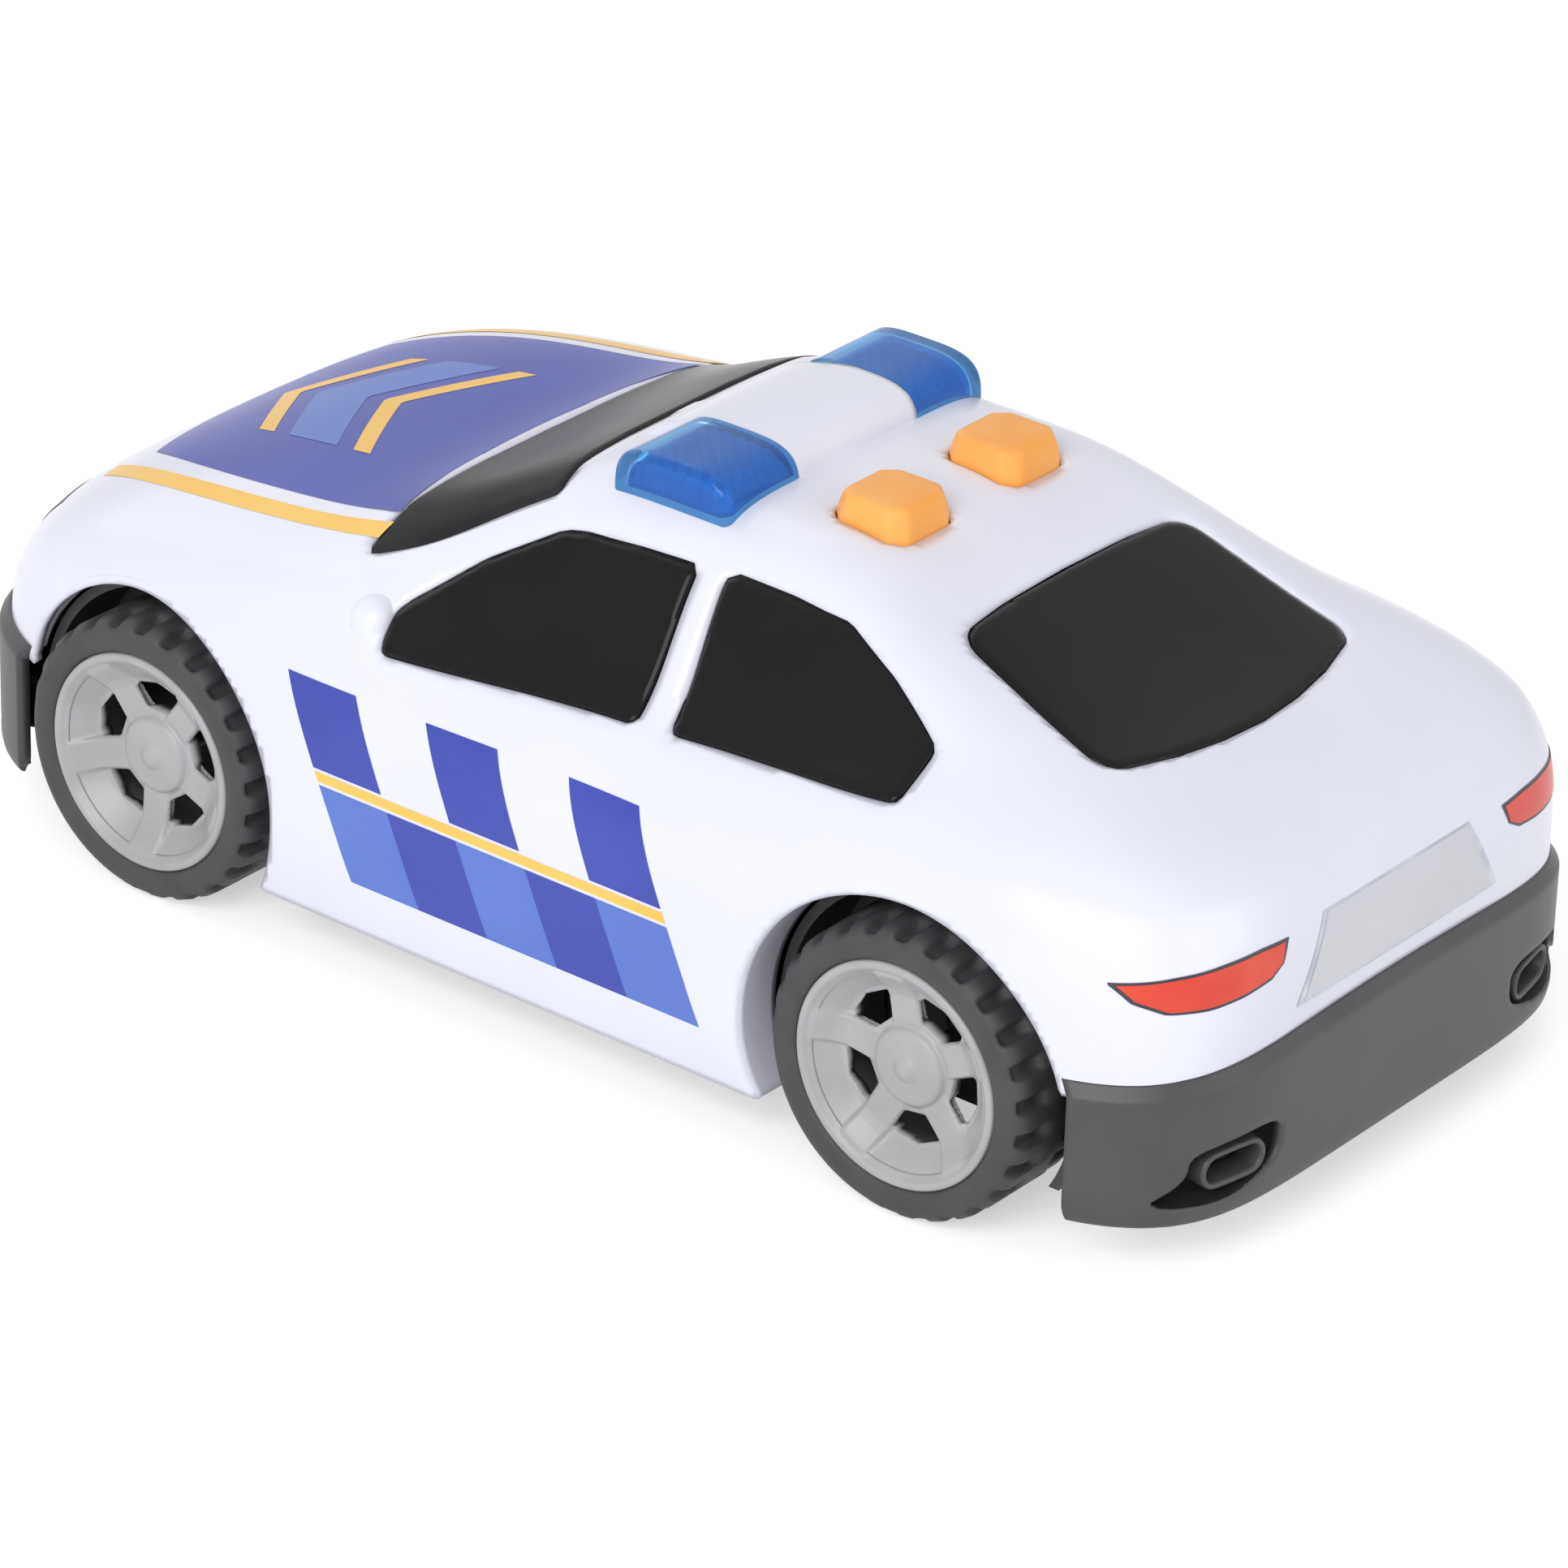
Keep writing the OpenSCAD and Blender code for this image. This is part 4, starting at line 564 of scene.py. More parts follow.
acrossBridge = np.linspace(-bar["bridge"], bar["bridge"], barSteps["across"])[:, None]
bridge = addFoot(bridgeSurface(sectionSteps(barSteps["run"])[None, :], acrossBridge, bar["bridgeInset"]))
climb = np.arange(barSteps["wall"]) / barSteps["wall"]   # both side walls go down to the foot
bridge = np.concatenate([wallRows(bridge[0], climb), bridge, wallRows(bridge[-1], 1 - climb)])
newPiece("roofBridge", *sheet(bridge, True), "car", white, "white_shell")
for side, flip in (("left", True), ("right", False)):
    turn = (lambda g: g) if side == "left" else mirrorGrid
    outer = lensGrid(bar["lensLow"], bar["lensHigh"], 0, barSteps["lens"])
    under = lensGrid(bar["lensLow"], bar["lensHigh"] - bar["wall"], bar["wall"], barSteps["lens"])
    walls = joinGrids([(turn(outer), False, False, flip), (turn(under), False, False, not flip)])
    lens = newPiece(f"beaconLens_{side}", *walls, "car", lensBlue, "blue_lens")
    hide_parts(f"beacon_lens_{side}")
    # inside face of the lens: small diamonds over the top, upright ribs down the end, as a pale blue sheet
    # that is not clear: painted highlight for the light caught in the prisms
    inner = lensGrid(bar["lensLow"] + prisms["gap"], bar["lensHigh"] - prisms["depth"], prisms["depth"],
                     barSteps["prisms"])
    x, y, z = np.moveaxis(inner, -1, 0)
    top = np.clip((z - prisms["level"]) / prisms["fade"], 0, 1) * (z > bar["foot"] + prisms["footGap"])
    diamonds = zigzag((x + y) / prisms["pitch"]) * zigzag((x - y) / prisms["pitch"])
    atEnd = np.clip((y - bar["lensHigh"] + prisms["ribBand"]) / prisms["ribFade"], 0, 1)
    inner[..., 2] = z - top * prisms["deep"] * diamonds
    inner[..., 1] = y - atEnd * prisms["ribDeep"] * zigzag(x / prisms["ribPitch"])
    newPiece(f"beaconPrisms_{side}", *sheet(turn(inner), flip), "car", prismPaintedHighlight, "blue_lens")
print("light bar done")

# door mirrors: soft nubs, a rounded ball stretched and pulled into the door
mirrorNub = dict(x=31.8, y=51.9, z=58.4, rx=3.6, ry=3.9, rz=4.6, power=0.8)
a, b = np.meshgrid(np.linspace(0, 2 * np.pi, 49)[:-1], np.linspace(-np.pi / 2, np.pi / 2, 25), indexing="ij")
soft = lambda v: np.sign(v) * np.abs(v) ** mirrorNub["power"]
ball = np.stack([mirrorNub["x"] + mirrorNub["rx"] * soft(np.cos(b)) * soft(np.cos(a)),
                 mirrorNub["y"] + mirrorNub["ry"] * soft(np.cos(b)) * soft(np.sin(a)),
                 mirrorNub["z"] + mirrorNub["rz"] * soft(np.sin(b))], -1)
for side, g, flip in (("left", ball, False), ("right", mirrorGrid(ball), True)):
    newPiece(f"doorMirror_{side}", *joinGrids([(g, True, False, flip)]), "car", white, "white_shell")

# white flange inside each wheel arch: the arch circle carried inwards from the skin
archFlange = dict(front=(18, 208), rear=(-28, 162), tuck=0.5, steps=90, rows=8, wall=1.4)
for end, endName in ((1, "front"), (-1, "rear")):
    for side, sideName in ((1, "left"), (-1, "right")):
        turn = np.radians(np.linspace(*archFlange[endName], archFlange["steps"]))
        x = end * wheelSpot["x"] + wheelSpot["archR"] * np.cos(turn)
        z = wheelSpot["z"] + wheelSpot["archR"] * np.sin(turn)
        edge = skinBeside(x, z, skinGrid["inset"] + archFlange["tuck"], side)
        inner = edge.copy()
        inner[:, 1] = side * (form["width"] / 2 - wheelSpot["archDepth"])
        inward = np.linspace(0, 1, archFlange["rows"])[None, :, None]
        g = edge[:, None] * (1 - inward) + inner[:, None] * inward
        name = f"archFlange_{endName}_{sideName}"
        giveWall(newPiece(name, *sheet(g, side > 0), "car", white, "white_shell"), archFlange["wall"])


# push buttons: rounded octagon rings from flange to crowned top, each (share of the outline, height)
buttonRings = [(1.0, 80.6), (1.0, 85.2), (0.99, 85.7), (0.955, 86.9), (0.89, 88.25), (0.87, 88.5),
               (0.845, 88.72), (0.8, 88.9), (0.72, 89.0), (0.5, 89.06), (0.25, 89.09), (0, 89.1)]
middle = np.array([buttonSpot["x"], buttonSpot["y"]])
outline = buttonOutline(0) - middle
ones = np.ones(len(outline))
cap = np.stack([np.column_stack([middle + outline * share, ones * z]) for share, z in buttonRings])
for side, g, flip in (("left", cap, True), ("right", mirrorGrid(cap), False)):
    button = newPiece(f"roofButton_{side}", *ringed(g, flip), f"button_{side}", orange, "orange_cap")
    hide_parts(f"button_{side}")
print("buttons done")

# bumpers: a profile carried round the plan of the shell, with cut pockets; outlines in degrees and height
bumper = dict(stand=1.5, foot=9.5, footRise=2.2, footPower=1.6, top=32, arch=3, bevel=2.4, endX=101.4, wall=2,
              outAt=[0, 0.5, 1, 2, 2.15, 3], out=[0.3, 1.25, 1.5, 1.5, 1.42, 0.15], degree=2.06,
              corner=3.5, cornerReach=4, cornerDegree=4.3, away=50, depth=5.6,
              pocketLip=[(1.0, 0.25), (0.985, 1)], pocketFloor=[0.96, 0.5, 0],
              pocket=[(13.5, 22.8), (21.5, 21.9), (21.8, 17.5), (25, 13.2), (18, 12.4), (13.5, 15.5)],
              intake=[(-9, 22.5), (9, 22.5), (9, 12.5), (-9, 12.5)])


# plan outline under angle a, pushed out: r = (|cos a / length|^p + |sin a / width|^p)^(-1/p)
def planPoint(a, out, z):
    c, s = np.cos(np.radians(a)), np.sin(np.radians(a))
    p = np.where(c > 0, form["frontPlan"], form["rearPlan"])
    along, across = np.abs(c) / (form["length"] / 2 + out), np.abs(s) / (form["width"] / 2 + out)
    r = (along ** p + across ** p) ** (-1 / p)
    return np.stack([r * c, r * s, z + 0 * r], -1)


def makeBumper(name, node, middle, outlines):
    endX, foot, bevel, degree = (bumper[k] for k in ("endX", "foot", "bevel", "degree"))
    footTop = foot + bumper["footRise"]
    endWidth = planWidth(np.array(endX * np.cos(np.radians(middle))), 0)
    reach = np.degrees(np.arctan2(endWidth, endX))
    outlines = [soften([(a * degree, z) for a, z in o], 3) for o in outlines]

    def surface(u, v):   # v: 0 foot, 1 foot rise, 2 under the bevel, 3 crest
        across = planPoint(middle + u, 0, 0)[..., 1] / (form["width"] / 2)
        crest = bumper["top"] + bumper["arch"] * (1 - across ** 2)
        rise = foot + bumper["footRise"] * v ** bumper["footPower"]
        face = footTop + (crest - bevel - footTop) * (v - 1)
        z = np.where(v < 1, rise, np.where(v < 2, face, crest - bevel * (3 - v)))
        return planPoint(middle + u, np.interp(v, bumper["outAt"], bumper["out"]), z)

    def keep(spots):
        a = np.degrees(np.arctan2(spots[..., 1], spots[..., 0])) - middle
        a = (a + 180) % 360 - 180
        s = np.minimum((reach - np.abs(a)) * bumper["cornerDegree"], bumper["cornerReach"])
        h = np.minimum(spots[..., 2] - foot, bumper["cornerReach"])
        r = bumper["corner"]
        corner = np.where((s < r) & (h < r), r - np.hypot(r - s, r - h), bumper["away"])
        cuts = [outlineDistance(a * degree, spots[..., 2], o, 0) for o in outlines]
        return np.minimum.reduce([*cuts, corner])

    u = np.linspace(-reach, reach, 150)
    v = np.concatenate([np.linspace(0, 1, 7), np.linspace(1, 2, 30)[1:], np.linspace(2, 3, 7)[1:]])
    skin = newPiece(name, *cutSurface(surface, u, v, keep, flip=False), "car", bumperGrey, "dark_bumper")
    giveWall(skin, bumper["wall"])
    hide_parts(node)
    steps = bumper["pocketLip"] + [(share, bumper["depth"]) for share in bumper["pocketFloor"]]
    grids = []
    for o in outlines:   # pocket walls and floor, drawn in along the plan, in a darker grey that is painted shade in the recesses
        mid = o.mean(0)
        loops = []
        for share, depth in steps:
            ring = mid + (o - mid) * share
            loops.append(planPoint(middle + ring[:, 0] / degree, bumper["stand"] - depth, ring[:, 1]))
        (ax, ay), (bx, by) = o[5] - mid, o[9] - mid
        grids.append((np.stack(loops), False, True, ax * by - ay * bx > 0))
    newPiece(name + "Pockets", *joinGrids(grids), "car", pocketPaintedShade, "dark_bumper")


leftPocket = bumper["pocket"]
rightPocket = [(-a, z) for a, z in leftPocket]
makeBumper("rearBumperSkin", "rear_bumper", 180, [leftPocket, rightPocket])
makeBumper("frontBumperSkin", "front_bumper", 0, [leftPocket, rightPocket, bumper["intake"]])

# oval tail pipe rings: a rounded wall, (inset, depth) points, carried round a stadium
tailPipe = dict(width=12.6, height=6.2, at=17.6, z=17.2, square=6, steps=60,
                wall=[(0, 5.4), (0, 1.5), (0.15, 1.1), (0.45, 0.95), (0.85, 1.1), (1.05, 1.5), (1.1, 5.4)])
turn = np.linspace(0, 2 * np.pi, tailPipe["steps"] + 1)[:-1]
flat = (tailPipe["width"] - tailPipe["height"]) / 2 * np.tanh(tailPipe["square"] * np.cos(turn))
grids = []
for side in (1, -1):
    at = 180 + side * tailPipe["at"]
    along = planPoint(at + 1, 0, 0) - planPoint(at - 1, 0, 0)
    along = along / np.linalg.norm(along)
    outward = np.array([along[1], -along[0], 0])
    start = planPoint(at, bumper["stand"], 0)
    rows = []
    for inset, depth in tailPipe["wall"]:
        r = tailPipe["height"] / 2 - inset
        a, z = r * np.cos(turn) + flat, tailPipe["z"] + r * np.sin(turn)
        rows.append(start - outward * depth + a[:, None] * along + z[:, None] * np.array([0, 0, 1]))
    grids.append((np.stack(rows), False, True, True))
newPiece("tailPipes", *joinGrids(grids), "car", bumperGrey, "dark_bumper")

# two slats across the front intake: a flat nose profile, (out, up) points, carried along the plan
slat = dict(heights=(15.8, 19.2), half=9, steps=40,
            line=[(-4, 0.7), (0.1, 0.7), (0.4, 0.45), (0.4, -0.45), (0.1, -0.7), (-4, -0.7)])
a = np.linspace(-slat["half"], slat["half"], slat["steps"])
grids = []
for z in slat["heights"]:
    grids.append((np.stack([planPoint(a, out, z + up) for out, up in slat["line"]]), False, False, False))
newPiece("frontSlats", *joinGrids(grids), "car", bumperGrey, "dark_bumper")
print("bumpers done")

# wheels: rim face as depth over radius, five windows cut out; tyre as a turned profile with notches
rimShape = dict(face=59.5, spokes=5, spokeHalf=2.6, spokeFade=0.7, ridgeFrom=5.5, ridgeTo=16.4, ridgeFade=0.3,
                corner=0.7, rings=78, turns=240, fine=900, blur=17, wall=2.4, weld=0.02,
                line=[(0, 2.4), (0.9, 2.42), (1.6, 2.75), (2.3, 3.2), (5.2, 3.25), (5.9, 3.5), (6.6, 4.5),
                      (7.2, 4.6), (12, 4.6), (12.7, 4.3), (16.3, 0.7), (16.7, 0.2), (17, 0.05), (17.6, 0.05),
                      (17.9, 0.3), (18, 0.9), (18.02, 18.3)],
                ridge=[(5.5, 4.6), (7.5, 4.1), (11.5, 3.75), (13, 2.9), (15.4, 0.95), (16.3, 0.6)],
                window=[(7.7, -14.5), (7.7, 14.5), (12, 22.5), (12.35, 0), (12, -22.5)])
tyreShape = dict(width=18.5, notches=26, notchSteps=14, notchDepth=1.5, share=0.42, edge=0.05, notchTo=6.7,
                 notchFade=0.8, notchFrom=22.3, shoulderFade=0.7, treadR=23.29,
                 tread=[3.2, 4.6, 5.8, 6.4, 7, 9.25, 11.5, 12.1, 12.7, 13.9, 15.3],
                 line=[(17.9, 3), (17.95, 0.9), (18.3, 0.25), (19.2, 0.02), (21.2, 0.02), (22.2, 0.35),
                       (22.9, 1.1), (23.25, 2.2)])


# point of a wheel at radius r, turned, and so deep behind its outer face
def wheelPoint(end, side, r, turn, depth):
    x = end * wheelSpot["x"] + r * np.cos(turn)
    z = wheelSpot["z"] + r * np.sin(turn)
    return np.stack([x, side * (rimShape["face"] - depth), z], -1)


def makeRim(end, side, endName, sideName, phase):
    line = np.array(rimShape["line"])
    at = np.concatenate([[0], np.cumsum(np.hypot(*np.diff(line, axis=0).T))])
    fine, blur = np.linspace(0, at[-1], rimShape["fine"]), rimShape["blur"]
    sharp = np.pad(np.interp(fine, at, line[:, 1]), blur // 2, "edge")
    depthOf = np.convolve(sharp, np.ones(blur) / blur, "valid")
    pitch = 360 / rimShape["spokes"]
    outlines = []
    for k in range(rimShape["spokes"]):
        swings = [(r, np.radians(c + phase + pitch / 2 + pitch * k)) for r, c in rimShape["window"]]
        outlines.append([(r * np.cos(c), r * np.sin(c)) for r, c in swings])

    # depth over radius, raised to a ridge along each spoke
    def surface(u, v):
        r, depth = np.interp(u, at, line[:, 0]), np.interp(u, fine, depthOf)
        swing = np.radians((np.degrees(v) - phase + pitch / 2) % pitch - pitch / 2)
        onSpoke = (rimShape["spokeHalf"] - r * np.abs(np.sin(swing))) / rimShape["spokeFade"] + 0.5
        share = np.clip(onSpoke, 0, 1) * np.clip((rimShape["ridgeTo"] - r) / rimShape["ridgeFade"], 0, 1)
        ridge = np.interp(r, *np.array(rimShape["ridge"]).T)
        lift = np.minimum(ridge - depth, 0) * (r > rimShape["ridgeFrom"])
        return wheelPoint(end, side, r, v, depth + lift * share * share * (3 - 2 * share))

    def keep(spots):
        x, z = spots[..., 0] - end * wheelSpot["x"], spots[..., 2] - wheelSpot["z"]
        return np.minimum.reduce([outlineDistance(x, z, o, rimShape["corner"]) for o in outlines])

    rings = np.concatenate([np.linspace(0, at[-2], rimShape["rings"]), [at[-1]]])
    turns = np.linspace(0, 2 * np.pi, rimShape["turns"] + 1)
    verts, faces = cutSurface(surface, rings, turns, keep, flip=side > 0)
    rim = newPiece(f"rim_{endName}_{sideName}_face", verts, faces, f"{endName}_wheels", rimGrey, "grey_rim")
    seam = rim.modifiers.new("Weld", "WELD")
    seam.merge_threshold = rimShape["weld"] * mm
    giveWall(rim, rimShape["wall"])
    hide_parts(f"rim_{endName}_{sideName}")


# notches cut into both shoulders in turn, each a soft step in angle, radius and depth
def makeTyre(end, side, endName, sideName):
    half = np.array(tyreShape["line"])
    tread = [(tyreShape["treadR"], d) for d in tyreShape["tread"]]
    far = np.column_stack([half[::-1, 0], tyreShape["width"] - half[::-1, 1]])
    line = np.concatenate([half, tread, far])
    r, depth = line[:, :1], line[:, 1:]
    turn = np.linspace(0, 2 * np.pi, tyreShape["notches"] * tyreShape["notchSteps"] + 1)[None, :-1]
    wave = turn * tyreShape["notches"] / (2 * np.pi)
    share, edge = tyreShape["share"], tyreShape["edge"]
    block = lambda f: np.clip((share / 2 - np.abs((f % 1) - 0.5)) / edge + 0.5, 0, 1)
    shoulder = lambda d: np.clip((tyreShape["notchTo"] - d) / tyreShape["notchFade"], 0, 1)
    outside = np.clip((r - tyreShape["notchFrom"]) / tyreShape["shoulderFade"], 0, 1)
    outer, inner = block(wave) * shoulder(depth), block(wave + 0.5) * shoulder(tyreShape["width"] - depth)
    notch = np.maximum(outer, inner) * outside
    g = wheelPoint(end, side, r - tyreShape["notchDepth"] * notch, turn, depth + 0 * turn)
    tyre = newPiece(f"tyre_{endName}_{sideName}_ring", *ringed(g, side < 0), f"{endName}_wheels", tyreGrey,
                    "soft_tyre")
    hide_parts(f"tyre_{endName}_{sideName}")


for end, endName, phase in ((1, "front", -17), (-1, "rear", 10)):
    for side, sideName in ((1, "left"), (-1, "right")):
        makeRim(end, side, endName, sideName, phase)
        makeTyre(end, side, endName, sideName)
print("wheels done")

# printed films: thin sheets laid on the skin; one on top of another lies a little further out
decal = dict(inset=0.0, over=-0.05)


# quad corners spread evenly over a grid
def quadGrid(corners, steps):
    c = np.asarray(corners, float)
    s, t = np.meshgrid(np.linspace(0, 1, steps[0]), np.linspace(0, 1, steps[1]), indexing="ij")
    s, t = s[..., None], t[..., None]
    return (c[0] * (1 - s) + c[1] * s) * (1 - t) + (c[3] * (1 - s) + c[2] * s) * t


def laySide(quads, side):
    return [(skinBeside(q[..., 0], q[..., 1], decal["inset"], side), False, False, side > 0) for q in quads]


def addFilm(name, grids, material):
    newPiece(name, *joinGrids(grids), "car", material, "white_shell")


# slanted blocks on each door: two rows in turn, with a yellow rule between them
doorFilm = dict(front=29.0, block=13.6, slant=-0.45, low=19.0, lowTop=33.4, highLow=36.0, high=50.0, gap=0.5,
                steps=(14, 12))


def doorBlock(first, last, low, high):
    x = [doorFilm["front"] - doorFilm["block"] * k for k in (first, last)]
    lean = [doorFilm["slant"] * (z - doorFilm["low"]) for z in (low, high)]
    corners = [(x[0] - lean[1], high), (x[1] - lean[1], high), (x[1] - lean[0], low), (x[0] - lean[0], low)]
    return quadGrid(corners, ((last - first) * doorFilm["steps"][0], doorFilm["steps"][1]))


def upperBlock(k):
    return doorBlock(k, k + 1, doorFilm["highLow"], doorFilm["high"])


def lowerBlock(k):
    return doorBlock(k, k + 1, doorFilm["low"], doorFilm["lowTop"])


rule = doorBlock(0, 5, doorFilm["lowTop"] + doorFilm["gap"], doorFilm["highLow"] - doorFilm["gap"])
doorRows = [("blue", decalBlue, [upperBlock(k) for k in (0, 2, 4)] + [lowerBlock(k) for k in (1, 3)]),
            ("pale", decalPale, [lowerBlock(k) for k in (0, 2, 4)]), ("yellow", decalYellow, [rule])]
for side, sideName in ((1, "left"), (-1, "right")):
    for tone, material, blocks in doorRows:
        addFilm(f"doorBlocks_{tone}_{sideName}", laySide(blocks, side), material)

# bonnet film: blue panel with chevrons and a pale band, and yellow side stripes
bonnetFilm = dict(rear=45.0, rearBow=4.5, front=99, frontBow=5, at=[40, 50, 67, 88, 102],
                  half=[36.6, 36.4, 35.8, 32.2, 26.2])
chevron = dict(half=0.55, point=0.16, bands=[(0.30, 0.36), (0.42, 0.60), (0.66, 0.72)])
stripe = dict(at=[39, 46, 62, 72, 81, 93, 104], side=[41.0, 41.2, 41.1, 40.5, 39.4, 36.6, 32.8], width=3.6,
              run=(39.4, 104))


# smooth line of third degree through the listed places
def fairLine(at, values, x):
    return np.polyval(np.polyfit(at, values, 3), x)


def layBonnet(s, t, d):   # s from rear to front, t from right to left
    rear = bonnetFilm["rear"] - bonnetFilm["rearBow"] * t ** 2
    front = bonnetFilm["front"] + bonnetFilm["frontBow"] * (1 - t ** 2)
    x = rear + (front - rear) * s
    return skinOver(x, t * fairLine(bonnetFilm["at"], bonnetFilm["half"], x), d)


s, t = np.meshgrid(np.linspace(0, 1, 46), np.linspace(-1, 1, 70), indexing="ij")
addFilm("bonnetPanel", [(layBonnet(s, t, decal["inset"]), False, False, False)], decalBlue)
bands, half = [], chevron["half"]
for low, high in chevron["bands"]:
    s, t = np.meshgrid(np.linspace(low, high, 8), np.linspace(-half, half, 40), indexing="ij")
    s = s + chevron["point"] * (1 - np.abs(t) / half)
    bands.append((layBonnet(s, t, decal["over"]), False, False, False))
addFilm("bonnetChevrons", [bands[0], bands[2]], decalYellow)
addFilm("bonnetBand", [bands[1]], decalPale)
x, t = np.meshgrid(np.linspace(*stripe["run"], 60), np.linspace(-0.5, 0.5, 7), indexing="ij")
y = fairLine(stripe["at"], stripe["side"], x) + stripe["width"] * t
grids = [(skinOver(x, side * y, decal["inset"]), False, False, side < 0) for side in (1, -1)]
addFilm("bonnetStripes", grids, decalYellow)

# lamps and plate on the end faces: between an upper and a lower line of (y, z) points
tailLamp = dict(border=0.5, upper=[(27, 49.6), (33, 49.9), (40, 49.8), (47.2, 49.4), (53.6, 48.5)],
                lower=[(28.6, 46.2), (31.5, 44.6), (37, 43.9), (43, 43.6), (49, 43.9), (52.2, 45.6),
                       (53.6, 48.1)])
headLamp = dict(border=0.5, upper=[(19, 46.5), (26, 49.2), (33, 50.5), (39.5, 50)],
                lower=[(19, 45.5), (25, 42.6), (33, 42), (39.5, 45)])
plate = dict(border=0.3, upper=[(-18.5, 50.3), (18.5, 50.3)], lower=[(-25.5, 37.8), (25.5, 37.8)])
endFilm = dict(along=44, rows=12, endTrim=0.03, mostTrim=0.48)


# even steps along a line of points
def alongLine(points, k):
    at = np.linspace(0, 1, len(points))
    return np.stack([np.interp(k, at, values) for values in zip(*points)], -1)


# rows from the upper to the lower line, trimmed by the border on all sides
def layEnd(shape, side, end, d, border):
    trim = endFilm["endTrim"] if border else 0
    k = np.linspace(trim, 1 - trim, endFilm["along"])
    a, b = (alongLine(shape[line], k) * np.array([side, 1]) for line in ("upper", "lower"))
    trim = np.clip(border / np.linalg.norm(b - a, axis=1), 0, endFilm["mostTrim"])[:, None]
    even = (trim + (1 - 2 * trim) * np.linspace(0, 1, endFilm["rows"])[None, :])[..., None]
    q = a[:, None] * (1 - even) + b[:, None] * even
    return skinBehind(q[..., 0], q[..., 1], d, end)


# an edge film with a smaller film on it, sides as (side, flip)
def edgedFilm(name, edgeName, shape, end, sides, edgeMaterial, material):
    layers = ((edgeName, decal["inset"], 0, edgeMaterial), (name, decal["over"], shape["border"], material))
    for layer, d, border, tone in layers:
        grids = [(layEnd(shape, side, end, d, border), False, False, flip) for side, flip in sides]
        addFilm(layer, grids, tone)


edgedFilm("tailLamps", "tailLampsEdge", tailLamp, -1, [(1, False), (-1, True)], decalDark, decalRed)
edgedFilm("headLamps", "headLampsEdge", headLamp, 1, [(1, True), (-1, False)], decalDark, decalLamp)
edgedFilm("plateFilm", "plateEdge", plate, -1, [(1, True)], decalLamp, decalWhite)
print("films done")

# solids that stay as they are get their finish
finishes = [(baseGrey, ["base", "battery_door"]), (boardGreen, ["circuit_board"]),
            (diodeClear, ["beacon_diodes"]), (speakerDark, ["speaker"]), (cellGreen, ["batteries"]),
            (nickel, ["battery_contacts"]), (domeGrey, ["rubber_dome_left", "rubber_dome_right"]),
            (steel, ["front_axle", "rear_axle", "board_screws", "bumper_screws", "shell_screws",
                     "door_screw"])]
for material, nodes in finishes:
    for node in nodes:
        mesh = frame["nodes"][node].data
        mesh.materials.clear()
        mesh.materials.append(material)
for side in ("left", "right"):
    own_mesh(frame["nodes"][f"rubber_dome_{side}"])


# 1 for rays from the camera, by way of gloss or glass too, and 0 for those that light the car
def seenRays(tree):
    rays = tree.nodes.new("ShaderNodeLightPath")
    seen = rays.outputs["Is Camera Ray"]
    for kind in ("Is Glossy Ray", "Is Transmission Ray"):
        more = tree.nodes.new("ShaderNodeMath")
        more.operation = "MAXIMUM"
        tree.links.new(seen, more.inputs[0])
        tree.links.new(rays.outputs[kind], more.inputs[1])
        seen = more.outputs["Value"]
    return seen


# pale floor that shows its own shade, white where it is plain
stage = dict(reach=4.0, tone=0.9, rough=0.8, gloss=0.1, glow=0.5, skyLight=0.46)
mesh = bpy.data.meshes.new("floor")
k = np.linspace(-stage["reach"], stage["reach"], 3)
along, across = np.meshgrid(k, k, indexing="ij")
corners = np.stack([along, across, 0 * along], -1).reshape(-1, 3)
mesh.from_pydata(corners.tolist(), [], gridFaces(3, 3).tolist())
floor = bpy.data.objects.new("floor", mesh)
bpy.context.scene.collection.objects.link(floor)
floorPale = bpy.data.materials.new("floorPale")
floorPale.use_nodes = True
tree = floorPale.node_tree
shader = tree.nodes["Principled BSDF"]
tone = (stage["tone"], stage["tone"], stage["tone"], 1)
setInputs(shader, {"Base Color": tone, "Roughness": stage["rough"], "Specular IOR Level": stage["gloss"]})
glow = addNode(tree, "ShaderNodeEmission", {})
total = addNode(tree, "ShaderNodeAddShader", {})
share = addNode(tree, "ShaderNodeMath", {1: stage["glow"]})
share.operation = "MULTIPLY"
tree.links.new(seenRays(tree), share.inputs[0])
tree.links.new(share.outputs["Value"], glow.inputs["Strength"])
tree.links.new(shader.outputs["BSDF"], total.inputs[0])
tree.links.new(glow.outputs["Emission"], total.inputs[1])
tree.links.new(total.outputs["Shader"], tree.nodes["Material Output"].inputs["Surface"])
mesh.materials.append(floorPale)

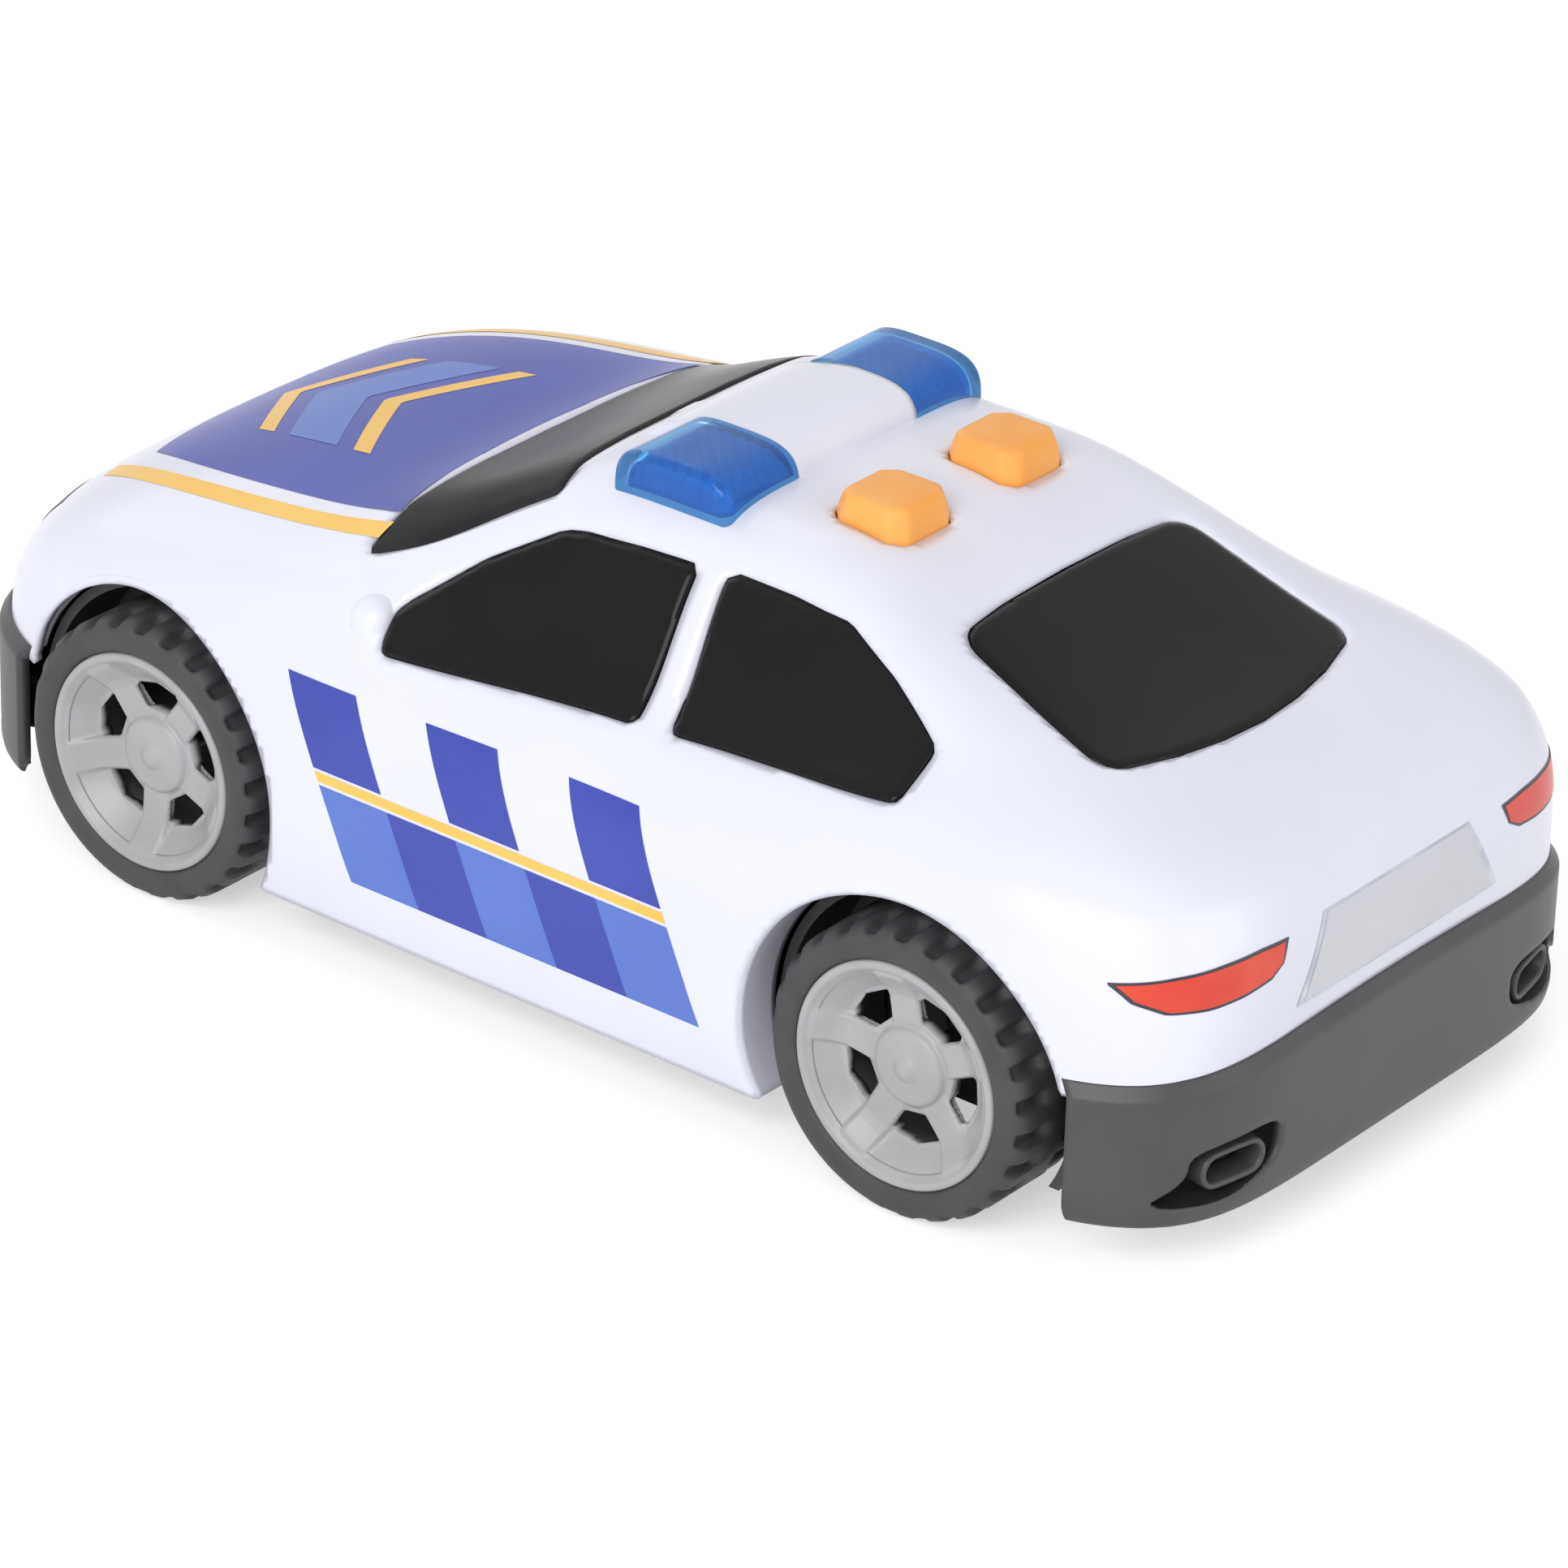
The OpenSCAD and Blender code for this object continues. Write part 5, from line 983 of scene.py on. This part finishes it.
# soft studio light: an even sky and three large soft lamps
world = bpy.data.worlds.new("studio")
bpy.context.scene.world = world
world.use_nodes = True
sky = world.node_tree
background = sky.nodes["Background"]
background.inputs["Color"].default_value = (1, 1, 1, 1)
# plain white where it is seen, softer for the light
level = addNode(sky, "ShaderNodeMath", {1: 1 - stage["skyLight"], 2: stage["skyLight"]})
level.operation = "MULTIPLY_ADD"
sky.links.new(seenRays(sky), level.inputs[0])
sky.links.new(level.outputs["Value"], background.inputs["Strength"])


# place an object by its right, up and back axes
def setPlace(obj, right, up, back, place):
    axes = np.stack([right, up, back], 1)
    obj.matrix_world = Matrix([[*row, p] for row, p in zip(axes, place)] + [[0, 0, 0, 1]])


def softLamp(name, place, size, power):
    light = bpy.data.lights.new(name, "AREA")
    light.shape = "RECTANGLE"
    light.size, light.size_y = size
    light.energy = power
    lamp = bpy.data.objects.new(name, light)
    bpy.context.scene.collection.objects.link(lamp)
    back = np.array(place) / np.linalg.norm(place)
    right = np.cross([0, 0, 1], back)
    right = right / np.linalg.norm(right)
    setPlace(lamp, right, np.cross(back, right), back, place)


softLamp("keyLamp", (-0.35, 1.3, 0.9), (1.1, 0.9), 15)
softLamp("fillLamp", (-1.35, -0.3, 0.5), (0.9, 0.9), 3.5)
softLamp("frontLamp", (1.2, -0.4, 1.0), (1.2, 1.0), 3)

# camera solved from the photograph: place in metres and its three axes
view = dict(place=(-0.6583, 0.8393, 0.5745), right=(-0.78028, -0.62478, 0.02852),
            up=(0.30714, -0.34306, 0.88769), back=(-0.54483, 0.70140, 0.45958), lens=178.18, sensor=36)
cam = bpy.data.cameras.new("camera")
cam.lens = view["lens"]
cam.sensor_width = view["sensor"]
cam.sensor_fit = "HORIZONTAL"
cam.clip_start = 0.01
camera = bpy.data.objects.new("camera", cam)
bpy.context.scene.collection.objects.link(camera)
setPlace(camera, view["right"], view["up"], view["back"], view["place"])
bpy.context.scene.camera = camera
bpy.context.scene.view_settings.view_transform = "Standard"

bpy.context.view_layer.update()
print("scene ready")
